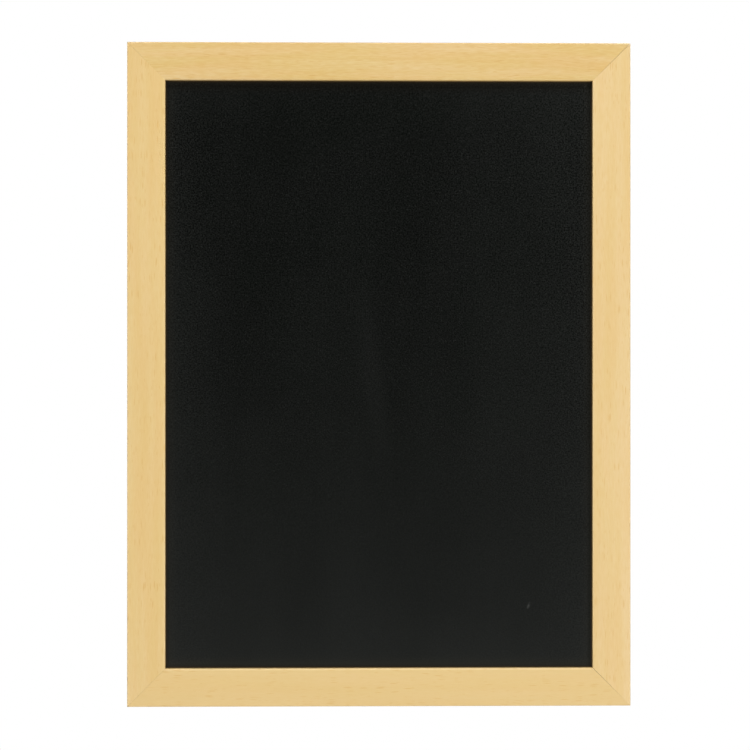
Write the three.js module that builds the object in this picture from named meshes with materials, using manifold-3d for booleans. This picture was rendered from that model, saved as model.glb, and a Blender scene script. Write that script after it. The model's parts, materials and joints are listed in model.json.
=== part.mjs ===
// A small framed chalkboard that hangs upright on a wall, from two D-rings.
// Millimetres, +Z up. The writing side faces -Y and the back of the frame lies in the plane y = 0.
// The origin is midway between the two places where wall hooks carry the rings.
// Left and right are those of someone who stands in front of the board.

import * as THREE from "three";
import { mergeVertices } from "three/addons/utils/BufferGeometryUtils.js";
import Module from "manifold-3d";

const wasm = await Module();
wasm.setup();

// Frame moulding
const FRAME_WIDTH = 311;
const FRAME_HEIGHT = 410;
const RAIL_FACE = 23.5; // width of the moulding's front face
const RAIL_DEPTH = 15; // front face to back face
const LIP_DEPTH = 3.8; // front face to the floor of the rebate
const REBATE_WIDTH = 8.5; // how far the lip reaches over the panel's pocket
const OUTER_ARRIS = 0.7; // radius of the front edge on the outside
const INNER_ARRIS = 0.9; // radius of the front edge round the opening
const BACK_ARRIS = 0.5; // radius of the two back edges
const MITRE_GAP = 0.2; // joint line between two mitred ends

// Writing panel, in the rebate
const PANEL_THICKNESS = 3;
const PANEL_CLEARANCE = 0.5; // edge of the panel to the rebate wall
const PANEL_SEAT_GAP = 0.2; // panel to rebate floor

// V-nails, driven from the back across each mitre, with their points towards the board
const NAIL_LEG = 5;
const NAIL_WING = 1; // flared end of each leg
const NAIL_SHEET = 0.6;
const NAIL_HEIGHT = 10; // along the depth of the frame
const NAIL_ANGLE = 94; // between the legs, in degrees
const NAIL_FLARE = 50; // wing to leg, in degrees
const NAIL_SINK = 0.4; // below the back of the frame
const NAIL_EDGE = 2; // wood between a nail and the nearest side of the moulding
const NAIL_FIT = 0.2; // room round the nail

// Flat points, driven into the rebate wall behind the panel
const POINT_WIDTH = 6.5;
const POINT_DRIVEN = 5; // length inside the wood
const POINT_TIP = 3; // length of its tapered end
const POINT_TAB = 8; // length over the panel
const POINT_LIFT = 2.5; // free end that is bent up for a fingernail
const POINT_LIFT_ANGLE = 18; // in degrees
const POINT_CORNER = 1.2; // radius at the free end
const POINT_SHEET = 0.5;
const POINT_FIT = 0.2; // room round the driven end
const POINT_SEAT_GAP = 0.15; // point to the back of the panel
const POINT_INSET = 32; // corner of the opening to the nearest point
const POINTS_PER_STILE = 3;
const POINTS_PER_RAIL = 2;

// Hanger strap, folded round the bar of the ring
const HANGER_DROP = 62; // top of the frame to the axis of the ring's bar
const STRAP_WIDTH = 7.5;
const STRAP_SHEET = 0.8;
const STRAP_TAIL = 4.5; // screw to the end of the strap
const STRAP_CORNER = 2.5; // radius at the end of the strap
const STRAP_SEAT_GAP = 0.1; // strap to frame
const STRAP_FOLD_GAP = 0.12; // between the two leaves
const BARREL_CLEARANCE = 0.2; // round the ring's bar
const LEAF_SLOPE = 40; // upper leaf on its way down from the barrel, in degrees
const LEAF_BEND = 1.4; // radius where that leaf turns flat
const HOLE_CLEARANCE = 0.25; // strap to screw

// D-ring of bent wire
const WIRE = 2; // diameter
const RING_CORNER = 1.8; // bend radius at the ends of the bar
const RING_SPLIT = 0.6; // between the wire's two ends, inside the barrel
const RING_SIDE_CLEARANCE = 1.25; // ring to the edge of the strap
const RING_HEAD_CLEARANCE = 0.7; // bow to screw head, with the ring folded down
const RING_REST_GAP = 0.25; // bow to the frame that it leans on

// Pan-head screw with a cross recess
const HEAD_DIAMETER = 5.6;
const HEAD_HEIGHT = 1.9;
const HEAD_RIM = 0.6; // upright part of the head's edge
const HEAD_FLAT = 2.4; // diameter of the flat on top
const HEAD_MARGIN = 0.4; // head to the strap's bend
const HEAD_SEAT_GAP = 0.1; // head to strap
const SCREW_DIAMETER = 3;
const SCREW_LENGTH = 11; // under the head
const SCREW_TIP = 3.5;
const SCREW_FIT = 0.25; // wood to screw
const RECESS_ACROSS = 3;
const RECESS_SLOT = 0.75;
const RECESS_DEPTH = 1.2;

// Facets
const ARC_STEPS = 3; // half of the steps in an arc
const ROUND_SIDES = 28;
const WIRE_SIDES = 10;
const WIRE_STEPS = 68;

// Worked out from the sizes above
const QUARTER = Math.PI / 2;
const WALL = RAIL_FACE - REBATE_WIDTH; // thickness of the moulding beside the panel
const PANEL_WIDTH = FRAME_WIDTH - 2 * (WALL + PANEL_CLEARANCE);
const PANEL_HEIGHT = FRAME_HEIGHT - 2 * (WALL + PANEL_CLEARANCE);
const PANEL_BACK = LIP_DEPTH + PANEL_SEAT_GAP + PANEL_THICKNESS - RAIL_DEPTH;
const BARREL_BORE = WIRE / 2 + BARREL_CLEARANCE;
const BARREL_RADIUS = BARREL_BORE + STRAP_SHEET / 2; // to the middle of the sheet
const RING_AXIS = STRAP_SEAT_GAP + STRAP_SHEET + BARREL_BORE; // off the back of the frame
const STRAP_TOP = STRAP_SEAT_GAP + 2 * STRAP_SHEET + STRAP_FOLD_GAP;
const HEAD_SEAT = STRAP_TOP + HEAD_SEAT_GAP;
const SCREW_DROP = leafFlatStart() + HEAD_MARGIN + HEAD_DIAMETER / 2; // ring's axis to screw
const RING_WIDTH = STRAP_WIDTH + 2 * RING_SIDE_CLEARANCE + WIRE; // between the middles of its sides
const RING_REACH = SCREW_DROP + HEAD_DIAMETER / 2 + RING_HEAD_CLEARANCE + WIRE / 2;
const RING_LEAN = Math.asin((RING_AXIS - WIRE / 2 - RING_REST_GAP) / RING_REACH);
const HANGER_X = FRAME_WIDTH / 2 - WALL / 2;
const HANGER_Z = FRAME_HEIGHT / 2 - HANGER_DROP;
const HOOK_Z = HANGER_Z + (RING_REACH - WIRE / 2) * Math.cos(RING_LEAN);

// Finishes

function finish(color, roughness, metalness) {
  return new THREE.MeshStandardMaterial({ color, roughness, metalness });
}

const beech = () => finish(0xe6c588, 0.45, 0);
const chalkBlack = () => finish(0x1b1d1b, 0.7, 0);
const zincSteel = () => finish(0xb9bcc0, 0.35, 1);
const darkSteel = () => finish(0x74787d, 0.45, 1);

// Solids from geometry, and back

function solidOf(geometry) {
  const bare = geometry.clone();
  bare.deleteAttribute("normal");
  bare.deleteAttribute("uv");
  const merged = mergeVertices(bare, 1e-4);
  const vertProperties = merged.attributes.position.array;
  const triVerts = new Uint32Array(merged.index.array);
  return new wasm.Manifold(new wasm.Mesh({ numProp: 3, vertProperties, triVerts }));
}

function geometryOf(solid) {
  const { vertProperties, triVerts } = solid.getMesh();
  const geometry = new THREE.BufferGeometry();
  geometry.setAttribute("position", new THREE.BufferAttribute(vertProperties, 3));
  geometry.setIndex(new THREE.BufferAttribute(triVerts, 1));
  const faceted = geometry.toNonIndexed();
  faceted.computeVertexNormals();
  return faceted;
}

function piece(name, geometry, material) {
  const mesh = new THREE.Mesh(geometry, material);
  mesh.name = name;
  return mesh;
}

// Outlines

// The points of a path, without the doubles where one stretch meets the next.
function pointsOf(path) {
  const points = path.getPoints(ARC_STEPS);
  return points.filter((p, i) => i === 0 || p.distanceTo(points[i - 1]) > 1e-6);
}

// A strip of sheet metal seen edge on: half its thickness either side of a path.
function ribbon(path, sheet) {
  const line = pointsOf(path);
  const left = [];
  const right = [];
  line.forEach((point, i) => {
    const before = point.clone().sub(line[Math.max(i - 1, 0)]).normalize();
    const after = line[Math.min(i + 1, line.length - 1)].clone().sub(point).normalize();
    const along = before.clone().add(after).normalize();
    const squeeze = Math.max(along.dot(before), along.dot(after));
    const aside = new THREE.Vector2(-along.y, along.x).multiplyScalar(sheet / 2 / squeeze);
    left.push(point.clone().add(aside));
    right.unshift(point.clone().sub(aside));
  });
  return new THREE.Shape([...left, ...right]);
}

function extrude(shape, depth) {
  return new THREE.ExtrudeGeometry(new THREE.Shape(pointsOf(shape)), {
    depth,
    bevelEnabled: false,
  });
}

// A side view, with z across and y up the page, given a width along x about x = 0.
function fromSide(shape, width) {
  return extrude(shape, width)
    .rotateY(-QUARTER)
    .translate(width / 2, 0, 0);
}

// A front view, with x across and z up the page, that runs from y = high back to y = low.
function fromFront(shape, low, high) {
  return extrude(shape, high - low)
    .rotateX(QUARTER)
    .translate(0, high, 0);
}

// Frame members: each is made lying along x, with its outside edge at z = 0 and its back at y = 0.

function mouldingSection() {
  const front = -RAIL_DEPTH;
  const section = new THREE.Shape();
  section.moveTo(-RAIL_FACE, front + LIP_DEPTH);
  section.absarc(INNER_ARRIS - RAIL_FACE, front + INNER_ARRIS, INNER_ARRIS, Math.PI, -QUARTER);
  section.absarc(-OUTER_ARRIS, front + OUTER_ARRIS, OUTER_ARRIS, -QUARTER, 0);
  section.absarc(-BACK_ARRIS, -BACK_ARRIS, BACK_ARRIS, 0, QUARTER);
  section.absarc(BACK_ARRIS - WALL, -BACK_ARRIS, BACK_ARRIS, QUARTER, Math.PI);
  section.lineTo(-WALL, front + LIP_DEPTH);
  return section;
}

// What is left between the two saw cuts, seen from the front.
function mitredOutline(length) {
  const end = length / 2 - MITRE_GAP / Math.SQRT2;
  return new THREE.Shape([
    new THREE.Vector2(-end - RAIL_FACE, RAIL_FACE),
    new THREE.Vector2(-end + 2 * RAIL_FACE, -2 * RAIL_FACE),
    new THREE.Vector2(end - 2 * RAIL_FACE, -2 * RAIL_FACE),
    new THREE.Vector2(end + RAIL_FACE, RAIL_FACE),
  ]);
}

function memberSolid(length, pointCount, screwPlaces) {
  const moulding = solidOf(fromSide(mouldingSection(), length));
  let wood = moulding.intersect(
    solidOf(fromFront(mitredOutline(length), -2 * RAIL_DEPTH, RAIL_DEPTH)),
  );
  for (const side of [-1, 1]) {
    for (const nail of cornerNails(side * length / 2, 0, side, 1)) {
      wood = wood.subtract(solidOf(placed(nailGeometry(NAIL_FIT), nail)));
    }
  }
  for (const x of pointPlaces(length, pointCount)) {
    wood = wood.subtract(solidOf(pointSlot().translate(x, 0, -WALL)));
  }
  for (const x of screwPlaces) {
    wood = wood.subtract(solidOf(shank(SCREW_FIT).translate(x, HEAD_SEAT, -WALL / 2)));
  }
  return wood;
}

// A member with its points, turned so that its outside edge faces the right way.
function frameSide(name, length, pointCount, screwPlaces, turn, offset) {
  const side = new THREE.Group();
  side.add(piece(name, geometryOf(memberSolid(length, pointCount, screwPlaces)), beech()));
  pointPlaces(length, pointCount).forEach((x, i) => {
    const point = piece(`${name}_point_${i + 1}`, pointGeometry(), darkSteel());
    point.position.set(x, 0, -WALL);
    side.add(point);
  });
  side.rotation.y = turn;
  side.position.set(offset * Math.sin(turn), 0, offset * Math.cos(turn));
  return side;
}

// Writing panel

function writingPanel() {
  const sheet = new THREE.BoxGeometry(PANEL_WIDTH, PANEL_THICKNESS, PANEL_HEIGHT);
  const panel = piece("writing_panel", sheet, chalkBlack());
  panel.position.y = PANEL_BACK - PANEL_THICKNESS / 2;
  return panel;
}

// V-nails

// The nail's centre line, seen from the front: its point is at the origin and looks towards +z.
function nailLine(extra) {
  const half = THREE.MathUtils.degToRad(NAIL_ANGLE / 2);
  const flared = half + THREE.MathUtils.degToRad(NAIL_FLARE);
  const wing = NAIL_WING + extra;
  const legX = NAIL_LEG * Math.sin(half);
  const legZ = -NAIL_LEG * Math.cos(half);
  const wingX = legX + wing * Math.sin(flared);
  const wingZ = legZ - wing * Math.cos(flared);
  const line = new THREE.Path();
  line.moveTo(-wingX, wingZ);
  line.lineTo(-legX, legZ);
  line.lineTo(0, 0);
  line.lineTo(legX, legZ);
  line.lineTo(wingX, wingZ);
  return line;
}

function nailGeometry(extra) {
  const high = extra > 0 ? RAIL_DEPTH : -NAIL_SINK; // a slot stays open at the back
  const outline = ribbon(nailLine(extra), NAIL_SHEET + 2 * extra);
  return fromFront(outline, -NAIL_SINK - NAIL_HEIGHT - extra, high);
}

// The two nails of the mitre that runs in from a corner, on the side of the frame that it is on.
function cornerNails(cornerX, cornerZ, sideX, sideZ) {
  const line = nailLine(0).getPoints();
  const reach = Math.max(...line.map((p) => p.x - p.y));
  const distances = [
    ["outer", NAIL_EDGE * Math.SQRT2 + reach],
    ["inner", (WALL - NAIL_EDGE) * Math.SQRT2],
  ];
  return distances.map(([name, distance]) => ({
    name,
    x: cornerX - (sideX * distance) / Math.SQRT2,
    z: cornerZ - (sideZ * distance) / Math.SQRT2,
    turn: Math.atan2(-sideX, -sideZ),
  }));
}

function placed(geometry, { x, z, turn }) {
  return geometry.rotateY(turn).translate(x, 0, z);
}

function vNails() {
  const nails = new THREE.Group();
  for (const [row, sideZ] of [["top", 1], ["bottom", -1]]) {
    for (const [column, sideX] of [["left", -1], ["right", 1]]) {
      const corner = [(sideX * FRAME_WIDTH) / 2, (sideZ * FRAME_HEIGHT) / 2];
      for (const { name, x, z, turn } of cornerNails(...corner, sideX, sideZ)) {
        const nail = piece(`v_nail_${row}_${column}_${name}`, nailGeometry(0), zincSteel());
        nail.position.set(x, 0, z);
        nail.rotation.y = turn;
        nails.add(nail);
      }
    }
  }
  return nails;
}

// Points: each is made with the rebate wall at z = 0 and its driven end towards +z.

function pointPlaces(length, count) {
  const last = length / 2 - RAIL_FACE - POINT_INSET;
  return Array.from({ length: count }, (_, i) => last * ((2 * i) / (count - 1) - 1));
}

function pointOutline() {
  const half = POINT_WIDTH / 2;
  const outline = new THREE.Shape();
  outline.moveTo(0, POINT_DRIVEN);
  outline.lineTo(-half, POINT_DRIVEN - POINT_TIP);
  outline.absarc(POINT_CORNER - half, POINT_CORNER - POINT_TAB, POINT_CORNER, Math.PI, -QUARTER);
  outline.absarc(half - POINT_CORNER, POINT_CORNER - POINT_TAB, POINT_CORNER, -QUARTER, 0);
  outline.lineTo(half, POINT_DRIVEN - POINT_TIP);
  return outline;
}

function pointGeometry() {
  const lift = THREE.MathUtils.degToRad(POINT_LIFT_ANGLE);
  const middle = PANEL_BACK + POINT_SEAT_GAP + POINT_SHEET / 2;
  const bend = POINT_LIFT - POINT_TAB;
  const line = new THREE.Path();
  line.moveTo(POINT_DRIVEN, middle);
  line.lineTo(bend, middle);
  line.lineTo(bend - POINT_LIFT * Math.cos(lift), middle + POINT_LIFT * Math.sin(lift));
  const strip = solidOf(fromSide(ribbon(line, POINT_SHEET), POINT_WIDTH));
  const blank = solidOf(fromFront(pointOutline(), -RAIL_DEPTH, RAIL_DEPTH));
  return geometryOf(strip.intersect(blank));
}

function pointSlot() {
  const half = POINT_WIDTH / 2 + POINT_FIT;
  const low = PANEL_BACK + POINT_SEAT_GAP - POINT_FIT;
  const slot = new THREE.Shape([
    new THREE.Vector2(0, POINT_DRIVEN + POINT_FIT * Math.SQRT2),
    new THREE.Vector2(-half, POINT_DRIVEN - POINT_TIP),
    new THREE.Vector2(-half, -REBATE_WIDTH),
    new THREE.Vector2(half, -REBATE_WIDTH),
    new THREE.Vector2(half, POINT_DRIVEN - POINT_TIP),
  ]);
  return fromFront(slot, low, low + POINT_SHEET + 2 * POINT_FIT);
}

// Hangers: each is made with the axis of the ring's bar at z = 0 and the frame's back at y = 0.

// How far below the ring's axis the upper leaf lies flat on the lower one.
function leafFlatStart() {
  const slope = THREE.MathUtils.degToRad(LEAF_SLOPE);
  const flat = STRAP_TOP - STRAP_SHEET / 2;
  const leaves = RING_AXIS + BARREL_RADIUS * Math.cos(slope);
  const lands = flat + LEAF_BEND * (1 - Math.cos(slope));
  const run = (leaves - lands) / Math.tan(slope);
  return (BARREL_RADIUS + LEAF_BEND) * Math.sin(slope) + run;
}

function strapLine() {
  const slope = THREE.MathUtils.degToRad(LEAF_SLOPE);
  const end = -SCREW_DROP - STRAP_TAIL;
  const upper = STRAP_TOP - STRAP_SHEET / 2;
  const bend = upper + LEAF_BEND;
  const line = new THREE.Path();
  line.moveTo(end, STRAP_SEAT_GAP + STRAP_SHEET / 2);
  line.absarc(0, RING_AXIS, BARREL_RADIUS, -QUARTER, 0);
  line.absarc(0, RING_AXIS, BARREL_RADIUS, 0, QUARTER + slope);
  line.absarc(-leafFlatStart(), bend, LEAF_BEND, slope - QUARTER, -QUARTER, true);
  line.lineTo(end, upper);
  return line;
}

function strapOutline() {
  const half = STRAP_WIDTH / 2;
  const end = -SCREW_DROP - STRAP_TAIL;
  const top = BARREL_RADIUS + STRAP_SHEET;
  const outline = new THREE.Shape();
  outline.moveTo(-half, top);
  outline.absarc(STRAP_CORNER - half, end + STRAP_CORNER, STRAP_CORNER, Math.PI, -QUARTER);
  outline.absarc(half - STRAP_CORNER, end + STRAP_CORNER, STRAP_CORNER, -QUARTER, 0);
  outline.lineTo(half, top);
  return outline;
}

function strapSolid() {
  const folded = solidOf(fromSide(ribbon(strapLine(), STRAP_SHEET), STRAP_WIDTH));
  const rounded = solidOf(fromFront(strapOutline(), -RAIL_DEPTH, RAIL_DEPTH));
  const hole = solidOf(shank(HOLE_CLEARANCE).translate(0, HEAD_SEAT, -SCREW_DROP));
  return folded.intersect(rounded).subtract(hole);
}

// The middle of the ring's wire, in the plane y = 0: half the bar, round the bow and back again.
class RingLine extends THREE.Curve {
  constructor() {
    super();
    const half = RING_WIDTH / 2;
    const bowCentre = RING_REACH - half;
    this.flat = new THREE.Path();
    this.flat.moveTo(RING_SPLIT / 2, 0);
    this.flat.absarc(half - RING_CORNER, RING_CORNER, RING_CORNER, -QUARTER, 0);
    this.flat.absarc(0, bowCentre, half, 0, Math.PI);
    this.flat.absarc(RING_CORNER - half, RING_CORNER, RING_CORNER, Math.PI, 3 * QUARTER);
    this.flat.lineTo(-RING_SPLIT / 2, 0);
  }

  getPoint(t, target = new THREE.Vector3()) {
    const { x, y } = this.flat.getPoint(t);
    return target.set(x, 0, y);
  }
}

function ringGeometry() {
  const section = new THREE.Shape();
  for (let i = 0; i < WIRE_SIDES; i++) {
    const angle = (i / WIRE_SIDES) * 2 * Math.PI;
    const [x, y] = [Math.cos(angle) * WIRE / 2, Math.sin(angle) * WIRE / 2];
    if (i === 0) section.moveTo(x, y);
    else section.lineTo(x, y);
  }
  return new THREE.ExtrudeGeometry(section, {
    steps: WIRE_STEPS,
    bevelEnabled: false,
    extrudePath: new RingLine(),
  });
}

// The screw's shank, from under the head to the tip, or the hole that leaves it some room.
function shank(extra) {
  const radius = SCREW_DIAMETER / 2 + extra;
  const profile = [
    new THREE.Vector2(0, -SCREW_LENGTH - extra * Math.SQRT2),
    new THREE.Vector2(radius, SCREW_TIP - SCREW_LENGTH),
    new THREE.Vector2(radius, 0),
    new THREE.Vector2(0, 0),
  ];
  return new THREE.LatheGeometry(profile, ROUND_SIDES);
}

function screwSolid() {
  const crown = (HEAD_DIAMETER - HEAD_FLAT) / 2;
  const profile = new THREE.Path();
  profile.moveTo(0, 0);
  profile.lineTo(HEAD_DIAMETER / 2, 0);
  profile.absellipse(HEAD_FLAT / 2, HEAD_RIM, crown, HEAD_HEIGHT - HEAD_RIM, 0, QUARTER);
  profile.lineTo(0, HEAD_HEIGHT);
  let screw = solidOf(new THREE.LatheGeometry(pointsOf(profile), ROUND_SIDES));
  screw = screw.add(solidOf(shank(0)));
  for (const [x, z] of [[RECESS_ACROSS, RECESS_SLOT], [RECESS_SLOT, RECESS_ACROSS]]) {
    const slot = new THREE.BoxGeometry(x, 2 * RECESS_DEPTH, z).translate(0, HEAD_HEIGHT, 0);
    screw = screw.subtract(solidOf(slot));
  }
  return screw;
}

function hanger(name, x) {
  const group = new THREE.Group();
  group.add(piece(`${name}_strap`, geometryOf(strapSolid()), zincSteel()));

  const screw = piece(`${name}_screw`, geometryOf(screwSolid()), zincSteel());
  screw.position.set(0, HEAD_SEAT, -SCREW_DROP);
  group.add(screw);

  const ring = piece(`${name}_d_ring`, ringGeometry(), zincSteel());
  ring.position.y = RING_AXIS;
  ring.rotation.x = RING_LEAN;
  group.add(ring);

  group.position.set(x, 0, HANGER_Z);
  return group;
}

// The whole board

const board = new THREE.Group();
const screwZ = HANGER_Z - SCREW_DROP;
board.add(
  frameSide("top_rail", FRAME_WIDTH, POINTS_PER_RAIL, [], 0, FRAME_HEIGHT / 2),
  frameSide("bottom_rail", FRAME_WIDTH, POINTS_PER_RAIL, [], Math.PI, FRAME_HEIGHT / 2),
  frameSide("left_stile", FRAME_HEIGHT, POINTS_PER_STILE, [screwZ], -QUARTER, FRAME_WIDTH / 2),
  frameSide("right_stile", FRAME_HEIGHT, POINTS_PER_STILE, [-screwZ], QUARTER, FRAME_WIDTH / 2),
  writingPanel(),
  vNails(),
  hanger("left_hanger", -HANGER_X),
  hanger("right_hanger", HANGER_X),
);
board.position.z = -HOOK_Z;

export default board;
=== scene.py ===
"""Blender looks of a small framed chalkboard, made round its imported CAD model.

Metres, in the CAD's own frame: +Z is up, the writing side faces -Y and the back of the frame lies in the
plane y = 0. Left and right are those of someone who stands in front of the board.
"""

import json
import logging
import math
from collections.abc import Mapping, Sequence
from dataclasses import dataclass, field
from enum import Enum
from functools import cache, partialmethod
from typing import Any

import bmesh
import bpy
import numpy as np
from mathutils import Matrix, Vector


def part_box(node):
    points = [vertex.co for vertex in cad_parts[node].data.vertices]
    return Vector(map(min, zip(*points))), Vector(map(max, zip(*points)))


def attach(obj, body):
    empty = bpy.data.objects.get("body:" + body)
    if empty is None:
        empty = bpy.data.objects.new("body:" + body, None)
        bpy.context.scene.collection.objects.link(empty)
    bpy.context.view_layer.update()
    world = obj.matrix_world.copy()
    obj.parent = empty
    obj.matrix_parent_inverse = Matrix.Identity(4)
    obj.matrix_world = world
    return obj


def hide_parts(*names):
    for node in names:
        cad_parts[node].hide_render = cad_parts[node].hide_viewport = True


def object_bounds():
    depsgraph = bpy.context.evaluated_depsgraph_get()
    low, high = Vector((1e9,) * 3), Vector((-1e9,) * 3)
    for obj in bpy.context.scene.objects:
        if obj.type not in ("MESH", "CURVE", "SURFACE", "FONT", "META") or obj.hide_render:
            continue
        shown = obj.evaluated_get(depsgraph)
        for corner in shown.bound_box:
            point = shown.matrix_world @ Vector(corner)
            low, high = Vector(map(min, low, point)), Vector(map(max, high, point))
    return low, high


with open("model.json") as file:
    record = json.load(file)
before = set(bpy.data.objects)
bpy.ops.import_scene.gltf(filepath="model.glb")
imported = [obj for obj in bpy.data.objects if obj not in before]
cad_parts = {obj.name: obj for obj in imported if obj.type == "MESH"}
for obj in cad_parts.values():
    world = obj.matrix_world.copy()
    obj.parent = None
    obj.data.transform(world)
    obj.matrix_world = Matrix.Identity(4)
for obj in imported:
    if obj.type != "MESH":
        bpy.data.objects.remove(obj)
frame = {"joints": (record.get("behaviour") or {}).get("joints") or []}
CAD_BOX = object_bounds()

LOG = logging.getLogger("chalkboard")
MM = 0.001
QUARTER = math.pi / 2
FULL_TURN = 2 * math.pi
SOFTEN_ANGLE = math.radians(40)
CREASE_ANGLE = math.radians(35)
WELD = 1e-3 * MM

Colour = tuple[float, float, float, float]
Object = bpy.types.Object
Material = bpy.types.Material


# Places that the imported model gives

CENTRE_X = (CAD_BOX[0].x + CAD_BOX[1].x) / 2
CENTRE_Z = (CAD_BOX[0].z + CAD_BOX[1].z) / 2
FRAME_WIDTH = CAD_BOX[1].x - CAD_BOX[0].x
FRAME_HEIGHT = CAD_BOX[1].z - CAD_BOX[0].z
FRONT = CAD_BOX[0].y


def middle_height(node: str) -> float:
    """Height of the middle of a CAD node's box."""
    low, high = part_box(node)
    return (low.z + high.z) / 2


def linear(*display: float) -> Colour:
    """A display colour, red, green and blue from 0 to 255, as the linear colour that a shader takes."""
    shares = np.array(display) / 255
    return (*np.where(shares > 0.04045, ((shares + 0.055) / 1.055) ** 2.4, shares / 12.92).tolist(), 1.0)


# Lines and surfaces


def arc(centre: Sequence[float], radius: float, start: float, end: float, steps: int) -> np.ndarray:
    """Points of an arc: centre + radius (cos a, sin a), for evenly spaced angles a.

    Args:
        centre: the two coordinates of its centre.
        radius: its radius.
        start: first angle, in radians.
        end: last angle, in radians.
        steps: how many straight steps stand for it.

    Returns:
        (steps + 1) x 2 points.
    """
    angles = np.linspace(start, end, steps + 1)
    return np.asarray(centre) + radius * np.column_stack((np.cos(angles), np.sin(angles)))


def circle(radius: float, sides: int) -> np.ndarray:
    """The corners of a circle's polygon about the origin."""
    return arc((0, 0), radius, 0, FULL_TURN, sides)[:-1]


def bent_line(corners: Sequence[Sequence[float]], radius: float, steps: int = 4) -> np.ndarray:
    """A line through corners, each inner corner rounded by an arc that touches both of its sides.

    With unit vectors a and b from the corner to its neighbours and h half the angle between them, the
    arc's centre is corner + (a + b) / |a + b| radius / sin h.

    Args:
        corners: the corners, two coordinates each.
        radius: radius of every bend.
        steps: straight steps in a bend.

    Returns:
        n x 2 points.
    """
    points = np.asarray(corners, float)
    line = [points[:1]]
    for before, corner, after in zip(points, points[1:], points[2:]):
        sides = [(near - corner) / np.linalg.norm(near - corner) for near in (before, after)]
        half = math.acos(np.clip(sides[0] @ sides[1], -1, 1)) / 2
        inwards = sum(sides) / np.linalg.norm(sum(sides))
        centre = corner + inwards * radius / math.sin(half)
        touched = [corner + side * radius / math.tan(half) - centre for side in sides]
        first, last = (math.atan2(across, along) for along, across in touched)
        sweep = (last - first + math.pi) % FULL_TURN - math.pi
        line.append(arc(centre, radius, first, first + sweep, steps))
    return np.vstack((*line, points[-1:]))


def directions(line: np.ndarray) -> tuple[np.ndarray, np.ndarray]:
    """Where a line in a plane is heading.

    Args:
        line: n x 2 points.

    Returns:
        The unit vector along the line at each point, and the same a quarter turn to the left.
    """
    along = np.gradient(line, axis=0)
    along /= np.linalg.norm(along, axis=1, keepdims=True)
    return along, np.column_stack((-along[:, 1], along[:, 0]))


def run_along(line: np.ndarray) -> np.ndarray:
    """The distance of each point from the line's start, measured along the line."""
    return np.concatenate(([0], np.cumsum(np.linalg.norm(np.diff(line, axis=0), axis=1))))


def turned(points: np.ndarray, angle: float) -> np.ndarray:
    """Points (x, z) turned about Y by an angle, in Blender's sense."""
    return points @ np.array([[math.cos(angle), -math.sin(angle)], [math.sin(angle), math.cos(angle)]])


def stacked(outlines: Sequence[np.ndarray], depths: Sequence[float]) -> np.ndarray:
    """Outlines of (x, z) points as loops, each one laid in the plane y = its depth."""
    return np.array([np.insert(outline, 1, deep, axis=1) for outline, deep in zip(outlines, depths)])


def strip_loops(line: np.ndarray, half_widths: np.ndarray, sheet: float) -> np.ndarray:
    """A strip of sheet metal as loops: line(s) +- half the sheet along the normal, +- the half width along x.

    Args:
        line: n x 2 points (z, y) of the middle of the sheet.
        half_widths: half the strip's width at each of them.
        sheet: its thickness.

    Returns:
        n x 4 x 3 points.
    """
    normal = directions(line)[1] * sheet / 2
    corners = []
    for side, face in ((-1, -1), (1, -1), (1, 1), (-1, 1)):
        z, y = (line + face * normal).T
        corners.append(np.column_stack((side * half_widths, y, z)))
    return np.stack(corners, axis=1)


@dataclass
class Patch:
    """One surface of two parameters, or a flat polygon, with the place in the grain at each point."""

    points: np.ndarray  # rows x columns x 3, or n x 3 for a polygon
    finish: int = 0
    grain: np.ndarray | None = None  # as many x 2, in metres along and across it, or x and y if not given

    @property
    def place_in_grain(self) -> np.ndarray:
        """Metres along and across the grain, n x 2."""
        return (self.points[..., :2] if self.grain is None else self.grain).reshape(-1, 2)

    def faces(self) -> list[list[int]]:
        """The surface's faces.

        Returns:
            The point numbers of each quad of the grid, or of the polygon.
        """
        if self.points.ndim == 2:
            return [list(range(len(self.points)))]
        rows, columns = self.points.shape[:2]
        index = np.arange(rows * columns).reshape(rows, columns)
        corners = (index[:-1, :-1], index[:-1, 1:], index[1:, 1:], index[1:, :-1])
        return np.stack(corners, axis=-1).reshape(-1, 4).tolist()


def loft(loops: np.ndarray, finish: int = 0) -> list[Patch]:
    """The wall that a closed loop makes from row to row of its points, and a flat polygon at each end."""
    wall = np.concatenate((loops, loops[:, :1]), axis=1)
    return [Patch(points, finish) for points in (wall, loops[0], loops[-1])]


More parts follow.
